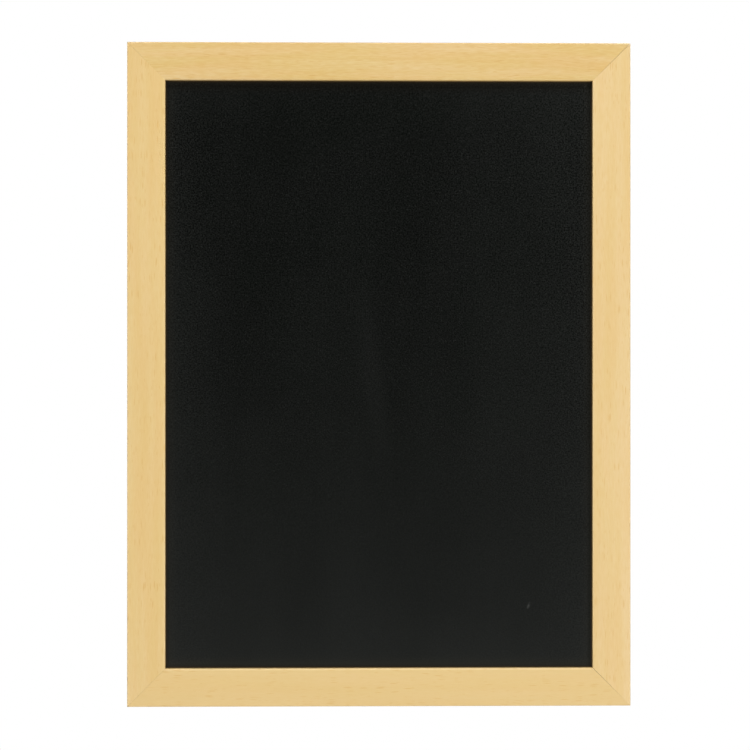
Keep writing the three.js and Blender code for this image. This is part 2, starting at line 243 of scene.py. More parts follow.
def closed_object(name: str, patches: Sequence[Patch], finishes: Sequence[Material] = ()) -> Object:
    """Joins patches into one closed object whose faces look outwards.

    Args:
        name: the piece's name.
        patches: surfaces whose edges meet.
        finishes: its materials, in the order that the patches number them.

    Returns:
        The object, at the origin, with its place in its mesh.
    """
    points = [patch.points.reshape(-1, 3) for patch in patches]
    starts = np.cumsum([0] + [len(rows) for rows in points[:-1]]).tolist()
    faces = [[i + start for i in face] for patch, start in zip(patches, starts) for face in patch.faces()]
    mesh = bpy.data.meshes.new(name)
    mesh.from_pydata(np.vstack(points).tolist(), [], faces)
    mesh.polygons.foreach_set("material_index", [patch.finish for patch in patches for _ in patch.faces()])

    corners = np.empty(len(mesh.loops), np.int32)
    mesh.loops.foreach_get("vertex_index", corners)
    grain = np.vstack([patch.place_in_grain for patch in patches])
    mesh.uv_layers.new(name="grain").uv.foreach_set("vector", grain[corners].astype(np.float32).ravel())

    shell = bmesh.new()
    shell.from_mesh(mesh)
    bmesh.ops.remove_doubles(shell, verts=shell.verts, dist=WELD)
    bmesh.ops.dissolve_degenerate(shell, edges=shell.edges, dist=WELD)
    bmesh.ops.recalc_face_normals(shell, faces=shell.faces)
    shell.to_mesh(mesh)
    shell.free()
    for finish in finishes:
        mesh.materials.append(finish)
    made = bpy.data.objects.new(name, mesh)
    bpy.context.scene.collection.objects.link(made)
    return made


def modify(piece: Object, kind: str, **settings: Any) -> None:
    """Changes a piece's mesh by one modifier.

    Args:
        piece: the object.
        kind: the modifier's type.
        settings: the modifier's own properties.
    """
    modifier = piece.modifiers.new(kind.lower(), kind)
    for name, value in settings.items():
        setattr(modifier, name, value)
    graph = bpy.context.evaluated_depsgraph_get()
    shaped = bpy.data.meshes.new_from_object(piece.evaluated_get(graph), depsgraph=graph)
    piece.modifiers.clear()
    rough, piece.data = piece.data, shaped
    bpy.data.meshes.remove(rough)


def cut(piece: Object, cutters: Sequence[Patch]) -> None:
    """Takes closed shapes out of a piece.

    Args:
        piece: the object to cut.
        cutters: patches of one or more closed shapes that don't touch each other.
    """
    tool = closed_object(f"{piece.name}_tool", cutters, piece.data.materials)
    modify(piece, "BOOLEAN", operation="DIFFERENCE", solver="EXACT", object=tool)
    bpy.data.objects.remove(tool)


def soften(piece: Object, width: float) -> None:
    """Rounds every edge sharper than SOFTEN_ANGLE, so far from the edge."""
    modify(piece, "BEVEL", width=width, segments=2, limit_method="ANGLE", angle_limit=SOFTEN_ANGLE)


def settle(piece: Object, place: Matrix, body: str, slot: str, *nodes: str) -> None:
    """Puts a piece in its place, shades it smooth between creases, ties it to its body and hides its CAD
    nodes.

    Args:
        piece: the finished object.
        place: from where it is made to its place in the frame.
        body: the CAD body that it moves with.
        slot: the record's material slot; not used.
        nodes: the CAD nodes that it replaces.
    """
    piece.data.transform(place)
    piece.data.shade_smooth()
    piece.data.set_sharp_from_angle(angle=CREASE_ANGLE)
    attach(piece, body)
    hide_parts(*nodes)
    LOG.info("%s: %d faces, rides on %s", piece.name, len(piece.data.polygons), body)


@dataclass
class MetalPiece:
    """A small piece of metal that is lofted from loops, for one CAD node."""

    node: str
    loops: np.ndarray
    metal: Material
    place: Matrix
    body: str = "board"
    slot: str = "zinc_steel"
    made_of: str = "steel"
    cutters: Sequence[Patch] = ()
    rounding: float = 0.0

    def build(self) -> None:
        """Makes the piece, cuts it, softens its edges and puts it in its place."""
        made = closed_object(f"{self.node}_{self.made_of}", loft(self.loops), (self.metal,))
        if self.cutters:
            cut(made, self.cutters)
        if self.rounding:
            soften(made, self.rounding)
        settle(made, self.place, self.body, self.slot, self.node)


# Node graphs: every scale is in features to a metre


@dataclass(frozen=True)
class Value:
    """A node's output, which can stand in a formula, such as a * b + c."""

    graph: "Graph"
    socket: bpy.types.NodeSocket

    def sum(self, operation: str, *others: Any) -> "Value":
        """One sum with this value first, on vectors if it is a vector and else on numbers."""
        return self.graph.sum(self.socket.type == "VECTOR", operation, self, *others)

    __add__ = partialmethod(sum, "ADD")
    __sub__ = partialmethod(sum, "SUBTRACT")
    __mul__ = partialmethod(sum, "MULTIPLY")
    __truediv__ = partialmethod(sum, "DIVIDE")
    __pow__ = partialmethod(sum, "POWER")
    __abs__ = partialmethod(sum, "ABSOLUTE")

    def __rsub__(self, other: float) -> "Value":
        """A plain number less this."""
        return self.graph.sum(False, "SUBTRACT", other, self)

    def length(self) -> "Value":
        """The length of a vector."""
        return self.graph.value("VectorMath", {0: self}, "Value", operation="LENGTH")


class Graph:
    """Adds nodes to a node tree, so that a finish reads as a few formulas."""

    def __init__(self, tree: bpy.types.NodeTree) -> None:
        """Starts on an emptied tree."""
        self.tree = tree
        tree.nodes.clear()

    def node(self, kind: str, inputs: Mapping[Any, Any] | None = None, **settings: Any) -> bpy.types.Node:
        """Adds a node.

        Args:
            kind: the type's name in Blender, without its "ShaderNode".
            inputs: what its inputs take, by name or number: a value to link or a plain one.
            settings: the node's own properties.

        Returns:
            The node.
        """
        made = self.tree.nodes.new(f"ShaderNode{kind}")
        for name, value in settings.items():
            setattr(made, name, value)
        for name, value in (inputs or {}).items():
            if isinstance(value, Value):
                self.tree.links.new(value.socket, made.inputs[name])
            else:
                made.inputs[name].default_value = value
        return made

    def value(
        self, kind: str, inputs: Mapping[Any, Any] | None = None, output: Any = 0, **settings: Any
    ) -> Value:
        """Adds a node and gives one of its outputs, by name or number."""
        return Value(self, self.node(kind, inputs, **settings).outputs[output])

    def values(self, kind: str, inputs: Mapping[Any, Any], **settings: Any) -> dict[str, Value]:
        """Adds a node and gives its outputs by name."""
        return {output.name: Value(self, output) for output in self.node(kind, inputs, **settings).outputs}

    def sum(self, on_vectors: bool, operation: str, *values: Any) -> Value:
        """One sum, such as ADD or MULTIPLY."""
        kind = "VectorMath" if on_vectors else "Math"
        return self.value(kind, dict(enumerate(values)), operation=operation)

    def blend(self, share: Any, first: Any, second: Any, mode: str = "MIX") -> Value:
        """A colour between two colours, by the share of the second."""
        return self.value("Mix", {0: share, 6: first, 7: second}, 2, data_type="RGBA", blend_type=mode)

    def tint(self, colour: Any, factors: Colour) -> Value:
        """The colour times a factor for each channel."""
        return self.blend(1.0, colour, factors, "MULTIPLY")

    def ramp(self, value: Any, low: float, high: float, first: float = 0.0, last: float = 1.0) -> Value:
        """A smooth step: first where value is low or under, last where it is high or over."""
        inputs = {0: value, 1: low, 2: high, 3: first, 4: last}
        return self.value("MapRange", inputs, interpolation_type="SMOOTHSTEP")

    def noise(self, vector: Value, scale: float, detail: float = 2.0, roughness: float = 0.5) -> Value:
        """Soft noise from 0 to 1, with so many features to a unit of the vector."""
        inputs = {"Vector": vector, "Scale": scale, "Detail": detail, "Roughness": roughness}
        return self.value("TexNoise", inputs)

    def group(self, tree: bpy.types.NodeTree, inputs: Mapping[str, Any]) -> dict[str, Value]:
        """Places a shared group and gives its outputs by name."""
        return self.values("Group", inputs, node_tree=tree)


class GroupGraph(Graph):
    """The graph of a shader group with named inputs and outputs."""

    SOCKETS = {float: "NodeSocketFloat", tuple: "NodeSocketColor", Vector: "NodeSocketVector"}

    def __init__(self, name: str, takes: Mapping[str, Any], gives: Mapping[str, type]) -> None:
        """Makes the group.

        Args:
            name: the group's name.
            takes: its inputs, each with its usual value.
            gives: its outputs, each with its type.
        """
        super().__init__(bpy.data.node_groups.new(name, "ShaderNodeTree"))
        for socket, usual in takes.items():
            kind = self.SOCKETS[type(usual)]
            made = self.tree.interface.new_socket(name=socket, in_out="INPUT", socket_type=kind)
            made.default_value = usual
        for socket, kind in gives.items():
            self.tree.interface.new_socket(name=socket, in_out="OUTPUT", socket_type=self.SOCKETS[kind])
        start = self.tree.nodes.new("NodeGroupInput")
        self.takes = {output.name: Value(self, output) for output in start.outputs}
        self.end = self.tree.nodes.new("NodeGroupOutput")

    def give(self, **results: Value) -> bpy.types.NodeTree:
        """Ends the group.

        Args:
            results: what each output gives, by its name.

        Returns:
            The finished group.
        """
        for name, value in results.items():
            self.tree.links.new(value.socket, self.end.inputs[name])
        return self.tree


@dataclass(frozen=True)
class Figure:
    """One scale of the grain's figure: noise drawn out along the grain, and how it tints the wood."""

    along: float  # features to a metre
    across: float
    low: float  # noise that takes all of the low tint
    high: float
    low_tint: Colour
    high_tint: Colour
    start: tuple[float, float, float] = (0.0, 0.0, 0.0)


@dataclass(frozen=True)
class Lenses:
    """Lens shapes along the grain, in a kept share of cells of this length and width."""

    length: float
    width: float
    kept: float
    start: float = 0.0

    def mask(self, graph: Graph, run: Value) -> Value:
        """1 in the middle of each lens and 0 outside it: near a cell's own point, if its number is high.

        Args:
            graph: the graph to add to.
            run: the place along and across the grain.

        Returns:
            The mask.
        """
        steps = (1 / self.length, 1 / self.width, 1.0)
        cells = graph.sum(True, "MULTIPLY_ADD", run, steps, (self.start, self.start, 0.0))
        pattern = graph.values("TexVoronoi", {"Vector": cells, "Scale": 1.0, "Randomness": 0.9})
        number = graph.value("SeparateColor", {0: pattern["Color"]})
        shape = graph.ramp(pattern["Distance"], 0.15, 0.39, 1, 0)
        return shape * graph.ramp(number, 1 - self.kept, 1.3 - self.kept)


SWAY = 3.2 * MM
SWAY_SCALE = (22.0, 60.0)  # along the grain, across it
CROWD_SCALE = (26.0, 110.0)
CROWD_START = (7.0, 2.0, 0.0)
PATCHES = Figure(6.0, 125.0, 0.32, 0.68, (0.98, 0.945, 0.845, 1.0), (1.018, 1.048, 1.14, 1.0))
HUES = Figure(14.0, 110.0, 0.35, 0.65, (1.007, 0.99, 1.0, 1.0), (0.992, 1.008, 0.975, 1.0), (3.0, 5.0, 0.0))
STREAKS = Figure(150.0, 1350.0, 0.3, 0.7, (1.014, 1.034, 1.078, 1.0), (0.975, 0.937, 0.84, 1.0))
LONG_FLECKS = Lenses(9.5 * MM, 0.9 * MM, 0.6)
SHORT_FLECKS = Lenses(4.5 * MM, 0.75 * MM, 0.3)
GLINTS = Lenses(7.0 * MM, 1.0 * MM, 0.45, start=50.0)
FLECK_TINT: Colour = (0.9, 0.765, 0.53, 1.0)
GLINT_TINT: Colour = (1.03, 1.06, 1.14, 1.0)
SHORT_FLECK_STRENGTH = 0.6
GLINT_STRENGTH = 0.4
DUST_CLOUD_SCALE = 14.0


@cache
def grain_group() -> bpy.types.NodeTree:
    """Beech: patches of tone and hue, fine streaks along a swaying grain, short brown flecks and glints.

    Every noise is drawn out along the grain. Long flecks show only where a slow patchy noise lets them.

    Returns:
        The group, which gives the colour, the relief and where the flecks are.
    """
    graph = GroupGraph(
        "beech_grain",
        {"Grain": Vector(), "Tint": (0.8, 0.6, 0.3, 1.0), "Flecks": 1.0, "Figure": 1.0},
        {"Colour": tuple, "Height": float, "Fleck": float},
    )
    grain, tint, amount = (graph.takes[name] for name in ("Grain", "Tint", "Flecks"))

    def drawn_out(place: Value, along: float, across: float, detail: float) -> Value:
        """Noise with so many features to a metre along and across the grain."""
        return graph.noise(place * (along, across, 1.0), 1.0, detail)

    sway = (drawn_out(grain, *SWAY_SCALE, 1.0) - 0.5) * SWAY
    run = grain + graph.value("CombineXYZ", {1: sway})
    colour = tint
    for figure in (PATCHES, HUES, STREAKS):
        noise = drawn_out(run + figure.start, figure.along, figure.across, 2.0)
        ends = (graph.tint(colour, figure.low_tint), graph.tint(colour, figure.high_tint))
        colour = graph.blend(graph.ramp(noise, figure.low, figure.high), *ends)
    crowded = graph.ramp(drawn_out(run + CROWD_START, *CROWD_SCALE, 1.0), 0.35, 0.65, 0.1, 1.0)
    long_flecks = LONG_FLECKS.mask(graph, run) * crowded
    short_flecks = SHORT_FLECKS.mask(graph, run) * SHORT_FLECK_STRENGTH
    fleck = long_flecks.sum("MAXIMUM", short_flecks) * amount
    glint = GLINTS.mask(graph, run) * amount
    colour = graph.blend(graph.takes["Figure"], tint, colour)
    colour = graph.blend(glint * GLINT_STRENGTH, colour, graph.tint(tint, GLINT_TINT))
    colour = graph.blend(fleck, colour, graph.tint(tint, FLECK_TINT))
    return graph.give(Colour=colour, Height=noise * 0.5 - fleck * 0.5, Fleck=fleck)


@cache
def dust_group() -> bpy.types.NodeTree:
    """Dust that lies in clouds: slow noise picks where, fine noise breaks it up.

    Returns:
        The group, which gives the dust's mask.
    """
    graph = GroupGraph("dust", {"Place": Vector(), "Amount": 0.5, "Grit": 900.0}, {"Mask": float})
    clouds = graph.noise(graph.takes["Place"], DUST_CLOUD_SCALE, 3.0, 0.6)
    fine = graph.noise(graph.takes["Place"], graph.takes["Grit"], 1.0)
    return graph.give(Mask=graph.ramp(clouds, 0.3, 0.75) * graph.ramp(fine, 0.3, 0.7) * graph.takes["Amount"])


@cache
def smear_group() -> bpy.types.NodeTree:
    """A smear: 1 in the middle of a long soft spot, broken by fine noise, and 0 outside it.

    The place is moved to the smear's middle, turned upright in the plane of the board and divided by its
    half sizes, so that the spot is where the length of the result is under 1.

    Returns:
        The group, which gives the smear's mask.
    """
    takes = {"Place": Vector(), "Middle": Vector(), "Lean": 0.0, "Half Sizes": Vector((1, 1, 1))}
    takes["Grit"] = 700.0
    graph = GroupGraph("smear", takes, {"Mask": float})
    place, middle, lean, sizes, grit = (graph.takes[name] for name in takes)
    upright = graph.value("VectorRotate", {"Vector": place - middle, "Angle": lean}, rotation_type="Y_AXIS")
    broken = graph.ramp(graph.noise(place, grit, 2.0), 0.3, 0.6, 0.35, 1.0)
    return graph.give(Mask=graph.ramp((upright / sizes).length(), 0.15, 1.0, 1, 0) * broken)


@cache
def lip_group() -> bpy.types.NodeTree:
    """Painted shade on the narrow wall that faces the writing surface, full at its foot and gone at the
    front, and a painted highlight where that wall turns into the face.

    Returns:
        The group, which gives both masks.
    """
    takes = {"Grain": Vector(), "Foot": 0.0, "Reach": 0.003, "Grit": 1500.0}
    graph = GroupGraph("lip_painted_shade_and_highlight", takes, {"Grime": float, "Wear": float})
    grain, foot, reach, grit = (graph.takes[name] for name in takes)
    up = (graph.values("SeparateXYZ", {0: grain})["Y"] - foot) / reach
    broken = graph.ramp(graph.noise(grain, grit, 2.0), 0.2, 0.7, 1.0, 0.75)
    wear = graph.ramp(up, 1.2, 1.4) * graph.ramp(up, 1.48, 1.68, 1.0, 0.0)
    return graph.give(Grime=graph.ramp(up, 0.55, 1.15, 1.0, 0.0) * broken, Wear=wear)


# Finishes


Looks = tuple[dict[str, Any], Value | None, float]


@dataclass(frozen=True)
class Finish:
    """A material that ends in a Principled shader."""

    name: str

    def looks(self, graph: Graph) -> Looks:
        """What the shader's inputs take, the relief from 0 to 1, and how high 1 stands, in metres."""
        raise NotImplementedError

    def material(self) -> Material:
        """Makes the material.

        Returns:
            The material, with its looks.
        """
        material = bpy.data.materials.new(self.name)
        material.use_nodes = True
        graph = Graph(material.node_tree)
        inputs, height, relief = self.looks(graph)
        if height is not None:
            inputs["Normal"] = graph.value("Bump", {"Strength": 1.0, "Distance": relief, "Height": height})
        graph.node("OutputMaterial", {"Surface": graph.value("BsdfPrincipled", inputs)})
        return material


@dataclass(frozen=True)
class Beech(Finish):
    """Beech seen along the grain, with or without its satin lacquer."""

    tint: Colour
    flecks: float = 1.0
    figure: float = 1.0
    roughness: float = 0.5
    specular: float = 0.35
    lacquer: float = 0.0
    relief: float = 0.02 * MM
    saw_marks: float = 0.0
    saw_scale: tuple[float, float, float] = (420.0, 18.0, 1.0)
    fuzz: Colour = (0.9, 0.75, 0.5, 1.0)
    # the lip: colour, share and roughness of the painted shade at the foot of its wall, and strength and tint
    # of the painted highlight on its inner arris
    lip_foot: float | None = None
    lip_reach: float = 2.9 * MM
    grime: Colour = (0.13, 0.062, 0.006, 1.0)
    wear: float = 0.0
    highlight_tint: Colour = (1.1, 1.14, 1.27, 1.0)
    shade_share: float = 0.85
    coat_roughness: float = 0.25
    fleck_roughness: float = 0.1  # added on the flecks
    shade_roughness: float = 0.5

    def looks(self, graph: Graph) -> Looks:
        """Read off the piece's own coordinates: metres along and across the grain.

        Args:
            graph: the graph to add to.

        Returns:
            The shader's inputs, the relief and its height.
        """
        grain = graph.value("UVMap", uv_map="grain")
        inputs = {"Grain": grain, "Tint": self.tint, "Flecks": self.flecks, "Figure": self.figure}
        wood = graph.group(grain_group(), inputs)
        colour, height, coat = wood["Colour"], wood["Height"], self.lacquer
        if self.saw_marks:
            fuzz = graph.ramp(graph.noise(grain * self.saw_scale, 1.0, 2.0), 0.35, 0.7)
            colour = graph.blend(fuzz * self.saw_marks, colour, self.fuzz)
            height = fuzz * 0.4 + height
        rough = graph.ramp(wood["Fleck"], 0.0, 1.0, self.roughness, self.roughness + self.fleck_roughness)
        if self.lip_foot is not None:
            lip = graph.group(lip_group(), {"Grain": grain, "Foot": self.lip_foot, "Reach": self.lip_reach})
            # a painted highlight on the inner arris, lighter and whiter than the face
            colour = graph.blend(lip["Wear"] * self.wear, colour, graph.tint(colour, self.highlight_tint))
            # painted shade at the foot of the lip wall; it also takes off the lacquer's coat there
            colour = graph.blend(lip["Grime"] * self.shade_share, colour, self.grime)
            rough = lip["Grime"] * self.shade_roughness + rough
            coat = graph.ramp(lip["Grime"], 0.0, 0.6, self.lacquer, 0.0)
        shader = {"Base Color": colour, "Roughness": rough, "Specular IOR Level": self.specular}
        shader |= {"Coat Weight": coat, "Coat Roughness": self.coat_roughness}
        return shader, height, self.relief


@dataclass(frozen=True)
class EndGrain(Finish):
    """A sawn end: growth rings as curved bands, with pores across them."""

    tint: Colour = linear(196, 156, 98)
    late_wood: Colour = linear(170, 126, 74)
    pore: Colour = linear(120, 84, 48)
    ring_scale: float = 120.0
    pore_scale: float = 4000.0
    pore_depth: float = 0.05 * MM
    roughness: float = 0.75

    def looks(self, graph: Graph) -> Looks:
        """Read off the piece's own coordinates.

        Args:
            graph: the graph to add to.

        Returns:
            The shader's inputs, the relief and its height.
        """
        place = graph.value("UVMap", uv_map="grain")
        inputs = {"Vector": place, "Scale": self.ring_scale, "Distortion": 2.0, "Detail": 2.0}
        rings = graph.value("TexWave", inputs, 1, wave_type="RINGS")
        pores = graph.noise(place, self.pore_scale, 1.0)
        colour = graph.blend(rings, self.tint, self.late_wood)
        colour = graph.blend(graph.ramp(pores, 0.5, 0.7, 0.0, 0.5), colour, self.pore)
        return {"Base Color": colour, "Roughness": self.roughness}, pores, self.pore_depth


@dataclass(frozen=True)
class Field:
    """A rectangle of the panel, upright in the plane of the board: the opening, or the whole sheet."""

    middle: Vector
    half_width: float
    half_height: float

    def places(self, graph: Graph) -> tuple[Value, ...]:
        """Where a point is.

        Args:
            graph: the graph to add to.

        Returns:
            The place in the frame and from the field's middle, x and z of the latter, and how far inside the
            nearest side and the nearest end it is.
        """
        place = graph.value("TexCoord", output="Object")
        own = graph.value("Mapping", {"Vector": place, "Location": -self.middle})
        x, z = (graph.values("SeparateXYZ", {0: own})[axis] for axis in "XZ")
        return place, own, x, z, self.half_width - abs(x), self.half_height - abs(z)


@dataclass(frozen=True)
class Smear:
    """A mark of chalk: middle from the middle of the opening, lean, half sizes in mm, and strength."""

    x: float
    z: float
    lean: float
    half_width: float
    half_height: float
    strength: float
    half_depth: float = 10.0

    def mask(self, graph: Graph, place: Value) -> Value:
        """How much chalk shows.

        Args:
            graph: the graph to add to.
            place: the place from the middle of the opening.

        Returns:
            The share, from 0 to 1.
        """
        middle, sizes = (self.x, 0, self.z), (self.half_width, self.half_depth, self.half_height)
        inputs = {"Place": place, "Lean": self.lean}
        inputs |= {"Middle": Vector(middle) * MM, "Half Sizes": Vector(sizes) * MM}
        return graph.group(smear_group(), inputs)["Mask"] * self.strength


@dataclass(frozen=True)
class ChalkCoat(Finish):
    """Matt black chalk paint: orange peel, wiped streaks and dust where no cloth reaches, with painted sheen,
    sparkle, fill and reflection.
    """

    opening: Field
    black: Colour = (0.0007, 0.0012, 0.0007, 1.0)
    # tone of the film, which carries the dust and also the painted sheen and sparkle
    dust: Colour = (0.187, 0.196, 0.184, 1.0)
    chalk: Colour = (0.55, 0.56, 0.53, 1.0)
    # painted light near each edge that cancels the lip's shadow, in a dusty tone
    lip_fill: Colour = (0.19, 0.158, 0.105, 1.0)
    # colour of a painted reflection of the wood lip in the coat, along each edge
    brown: Colour = (0.16, 0.08, 0.012, 1.0)
    roughness: float = 0.62
    specular: float = 0.03
    film_share: float = 0.045
    film_floor: float = 0.3
    wipe_scale: tuple[float, float, float] = (26.0, 1.0, 5.0)
    peel_scale: float = 1100.0
    sparkle_scale: float = 800.0
    speck_scale: float = 1500.0
    speck_share: float = 0.012
    reflection_share: float = 0.14
    reflection_reach: float = 1.3 * MM
    lip_reach: float = 9 * MM
    edge_reach: float = 45 * MM
    peel_height: float = 0.02 * MM
    edge_films: tuple[float, ...] = (0.42, 0.08, 0.26, 0.2)  # left, right, foot, top
    # painted light that cancels the lip's shadow at each edge: left, right, foot, top
    lip_fills: tuple[float, ...] = (0.03, 0.034, 0.055, 0.066)
    smears: tuple[Smear, ...] = (
        Smear(92.7, -143.2, -0.32, 1.15, 2.9, 0.05),
        Smear(92.2, -144.3, -0.32, 1.15, 1.5, 0.025),
        Smear(127.8, 178.6, -0.75, 0.75, 2.4, 0.045),
        Smear(-3, -8, 0.12, 11, 75, 0.0035),
    )

    def looks(self, graph: Graph) -> Looks:
        """Read off the place in the frame, and from the middle of the opening.

        The film is a sum of dust and painted light: dust thicker towards the foot and near each edge,
        streaked by the cloth, a painted sheen towards the right, and the peel's painted sparkle, most at the
        top, sides and right.

        Args:
            graph: the graph to add to.

        Returns:
            The shader's inputs, the relief and its height.
        """
        half_width, half_height = self.opening.half_width, self.opening.half_height
        place, own, x, z, side, end = self.opening.places(graph)
        down = graph.value("MapRange", {0: z, 1: half_height, 2: -half_height})
        # a painted sheen of the light from the right, growing towards the right and strongest at the top
        right = graph.ramp(x, 0.1 * half_width, 0.85 * half_width) * graph.ramp(down, 0.0, 1.0, 0.34, 0.15)

        def nearness(towards: Value, half: float, reach: float) -> Value:
            """1 at one edge of the opening, falling as a square to 0 at the reach from it."""
            inputs = {0: towards, 1: half - math.copysign(reach, half), 2: half}
            return graph.value("MapRange", inputs) ** 2.0

        # dust thicker towards the foot, plus the painted sheen at the right
        film, lip = down ** 2.2 * 0.95 + right, 0.0
        edges = ((x, -half_width), (x, half_width), (z, -half_height), (z, half_height))
        # at each edge: dust within the edge reach, and painted light that cancels the lip's shadow within the
        # lip reach
        for (towards, half), wide, close in zip(edges, self.edge_films, self.lip_fills):
            film = nearness(towards, half, self.edge_reach) * wide + film
            lip = nearness(towards, half, self.lip_reach) * close + lip
        film += graph.ramp(graph.noise(place * self.wipe_scale, 1.0, 3.0), 0.35, 0.75, 0.0, 0.12)

        peel = graph.noise(place, self.peel_scale, 1.0)
        # how strongly the peel speckles the film: a painted sparkle of the lamps on the coat, most at the
        # right, the top and the sides
        peel_sparkle = right * 2.2 + graph.ramp(down, 0.0, 1.0, 2.6, 1.0)
        peel_sparkle += graph.ramp(side, 0.0, 0.35 * half_width, 1.2, 0.0)
        film = (film + (peel - 0.5) * peel_sparkle).sum("MAXIMUM", -self.film_floor)
        colour = graph.blend((film + self.film_floor) * self.film_share, self.black, self.dust)
        # the painted light that cancels the lip's shadow
        colour = graph.blend(lip, colour, self.lip_fill)
        # a painted reflection of the wood lip in the coat, over the last mm of each edge
        corner = graph.ramp(side.sum("MINIMUM", end), 0.0, self.reflection_reach, self.reflection_share, 0.0)
        colour = graph.blend(corner, colour, self.brown)
        for smear in self.smears:
            colour = graph.blend(smear.mask(graph, own), colour, self.chalk)

        # bright chalk grains with a painted sparkle of the lamps, more at the top
        cells = graph.values("TexVoronoi", {"Vector": place, "Scale": self.sparkle_scale})
        bright = graph.ramp(graph.value("SeparateColor", {0: cells["Color"]}), 0.5, 1.0)
        sparkle_grains = graph.ramp(cells["Distance"], 0.15, 0.4, 1.0, 0.0) * bright
        colour = graph.blend(sparkle_grains * graph.ramp(down, 0.2, 1.0, 0.045, 0.012), colour, self.dust)
        inputs = {"Place": place, "Amount": self.speck_share, "Grit": self.speck_scale}
        colour = graph.blend(graph.group(dust_group(), inputs)["Mask"], colour, self.dust)
        shader = {"Base Color": colour, "Roughness": self.roughness, "Specular IOR Level": self.specular}
        return shader, peel, self.peel_height


@dataclass(frozen=True)
class Hardboard(Finish):
    """The brown fibre board under the chalk coat: its screened back, or its sawn edges."""

    mesh_pitch: float
    sheet: Field
    brown: Colour = linear(121, 84, 55)
    pale_fibre: Colour = linear(158, 118, 82)
    shade: Colour = (0.62, 0.58, 0.55, 1.0)
    overspray: Colour = linear(34, 34, 32)
    roughness: float = 0.85
    specular: float = 0.25
    fibre_scale: tuple[float, float, float] = (900.0, 900.0, 500.0)
    cloud_scale: float = 28.0
    ragged_scale: float = 90.0
    ragged: float = 9 * MM
    fog_reach: tuple[float, float] = (3.5 * MM, 8 * MM)
    print_height: float = 0.12 * MM

    def looks(self, graph: Graph) -> Looks:
        """A woven screen's print, fibres, and black overspray from the edges.

        The print's height is |sin| of x plus |sin| of z, each with the pitch of the screen.

        Args:
            graph: the graph to add to.

        Returns:
            The shader's inputs, the relief and its height.
        """
        place, _, x, z, side, end = self.sheet.places(graph)
        fibres = graph.noise(place * self.fibre_scale, 1.0, 4.0, 0.65)
        clouds = graph.noise(place, self.cloud_scale, 3.0)
        waves = [abs((c * (math.pi / self.mesh_pitch)).sum("SINE")) for c in (x, z)]
        screen = (waves[0] + waves[1]) * 0.5 + fibres * 0.35

        dark = graph.tint(self.brown, self.shade)
        colour = graph.blend(graph.ramp(clouds, 0.3, 0.7, 0.0, 0.35), self.brown, dark)
        colour = graph.blend(graph.ramp(fibres, 0.35, 0.7, 0.0, 0.45), colour, self.pale_fibre)
        colour = graph.blend(graph.ramp(screen, 0.25, 0.75, 0.5, 0.0), colour, dark)
        ragged = graph.noise(place, self.ragged_scale, 4.0, 0.7) * self.ragged
        fog = graph.ramp(side.sum("MINIMUM", end) + ragged, *self.fog_reach, 1.0, 0.0)
        colour = graph.blend(fog * graph.ramp(fibres, 0.2, 0.8, 1.0, 0.6), colour, self.overspray)
        shader = {"Base Color": colour, "Roughness": self.roughness, "Specular IOR Level": self.specular}
        return shader, screen, self.print_height


@dataclass(frozen=True)
class Steel(Finish):
    """Bright or darkened steel, with faint blotches, fine scratches and a little dust."""

    metal: Colour
    blotch: Colour
    roughness: float
    dust: float = 0.06
    dust_tone: Colour = linear(168, 158, 140)
    blotch_scale: float = 420.0
    dust_scale: float = 5000.0
    scratch_scale: tuple[float, float, float] = (6000.0, 2500.0, 700.0)
    scratch_depth: float = 0.004 * MM

    def looks(self, graph: Graph) -> Looks:
        """Read off the place in the frame.

        Args:
            graph: the graph to add to.

        Returns:
            The shader's inputs, the relief and its height.
        """
        place = graph.value("TexCoord", output="Object")
        clouds = graph.noise(place, self.blotch_scale, 3.0, 0.6)
        scratches = graph.noise(place * self.scratch_scale, 1.0, 2.0)
        colour = graph.blend(graph.ramp(clouds, 0.35, 0.7), self.metal, self.blotch)
        inputs = {"Place": place, "Amount": self.dust, "Grit": self.dust_scale}
        dust = graph.group(dust_group(), inputs)["Mask"]
        colour = graph.blend(dust, colour, self.dust_tone)
        rough = graph.ramp(clouds, 0.3, 0.8, self.roughness, self.roughness + 0.14) + dust
        shader = {"Base Color": colour, "Roughness": rough, "Metallic": 1.0 - dust}
        return shader, scratches, self.scratch_depth


# The frame


class Side(Enum):
    """The side of the board that a member is on, numbered clockwise in quarter turns from the top."""

    TOP = 0
    RIGHT = 1
    BOTTOM = 2
    LEFT = 3

    @property
    def upright(self) -> bool:
        """Whether its member is a stile."""
        return self in (Side.LEFT, Side.RIGHT)

    @property
    def length(self) -> float:
        """Length of its member's outside edge."""
        return FRAME_HEIGHT if self.upright else FRAME_WIDTH

    def matrix(self) -> Matrix:
        """Puts a member in its place.

        Returns:
            The matrix from where it is made, lying along x, to its side of the frame.
        """
        out = (FRAME_WIDTH if self.upright else FRAME_HEIGHT) / 2
        turn = Matrix.Rotation(self.value * QUARTER, 4, "Y")
        return Matrix.Translation((CENTRE_X, 0, CENTRE_Z)) @ turn @ Matrix.Translation((0, 0, out))


@dataclass(frozen=True)
class Mitre:
    """The joint line at one corner: a wedge that is open at the outside, at the opening, or at neither.

    The cuts lean a little, so that the joint closes on the face first and stays open at the back.
    """

    corner: str
    outer: float
    inner: float
    closed: float = 0.006 * MM
    undercut: float = 0.12 * MM

    def gap(self, inwards: np.ndarray, backwards: np.ndarray) -> np.ndarray:
        """Width of the line, by the shares of the way in from the outside and back from the face."""
        on_face = np.maximum(self.outer + (self.inner - self.outer) * inwards, self.closed)
        return np.maximum(on_face, self.undercut * backwards)


@dataclass(frozen=True)
class Timber:
    """What sets one member's wood apart: tone with painted light in it, strength of figure and flecks, and
    painted highlight on its inner arris.
    """

    node: str
    tint: Colour
    figure: float
    flecks: float
    wear: float


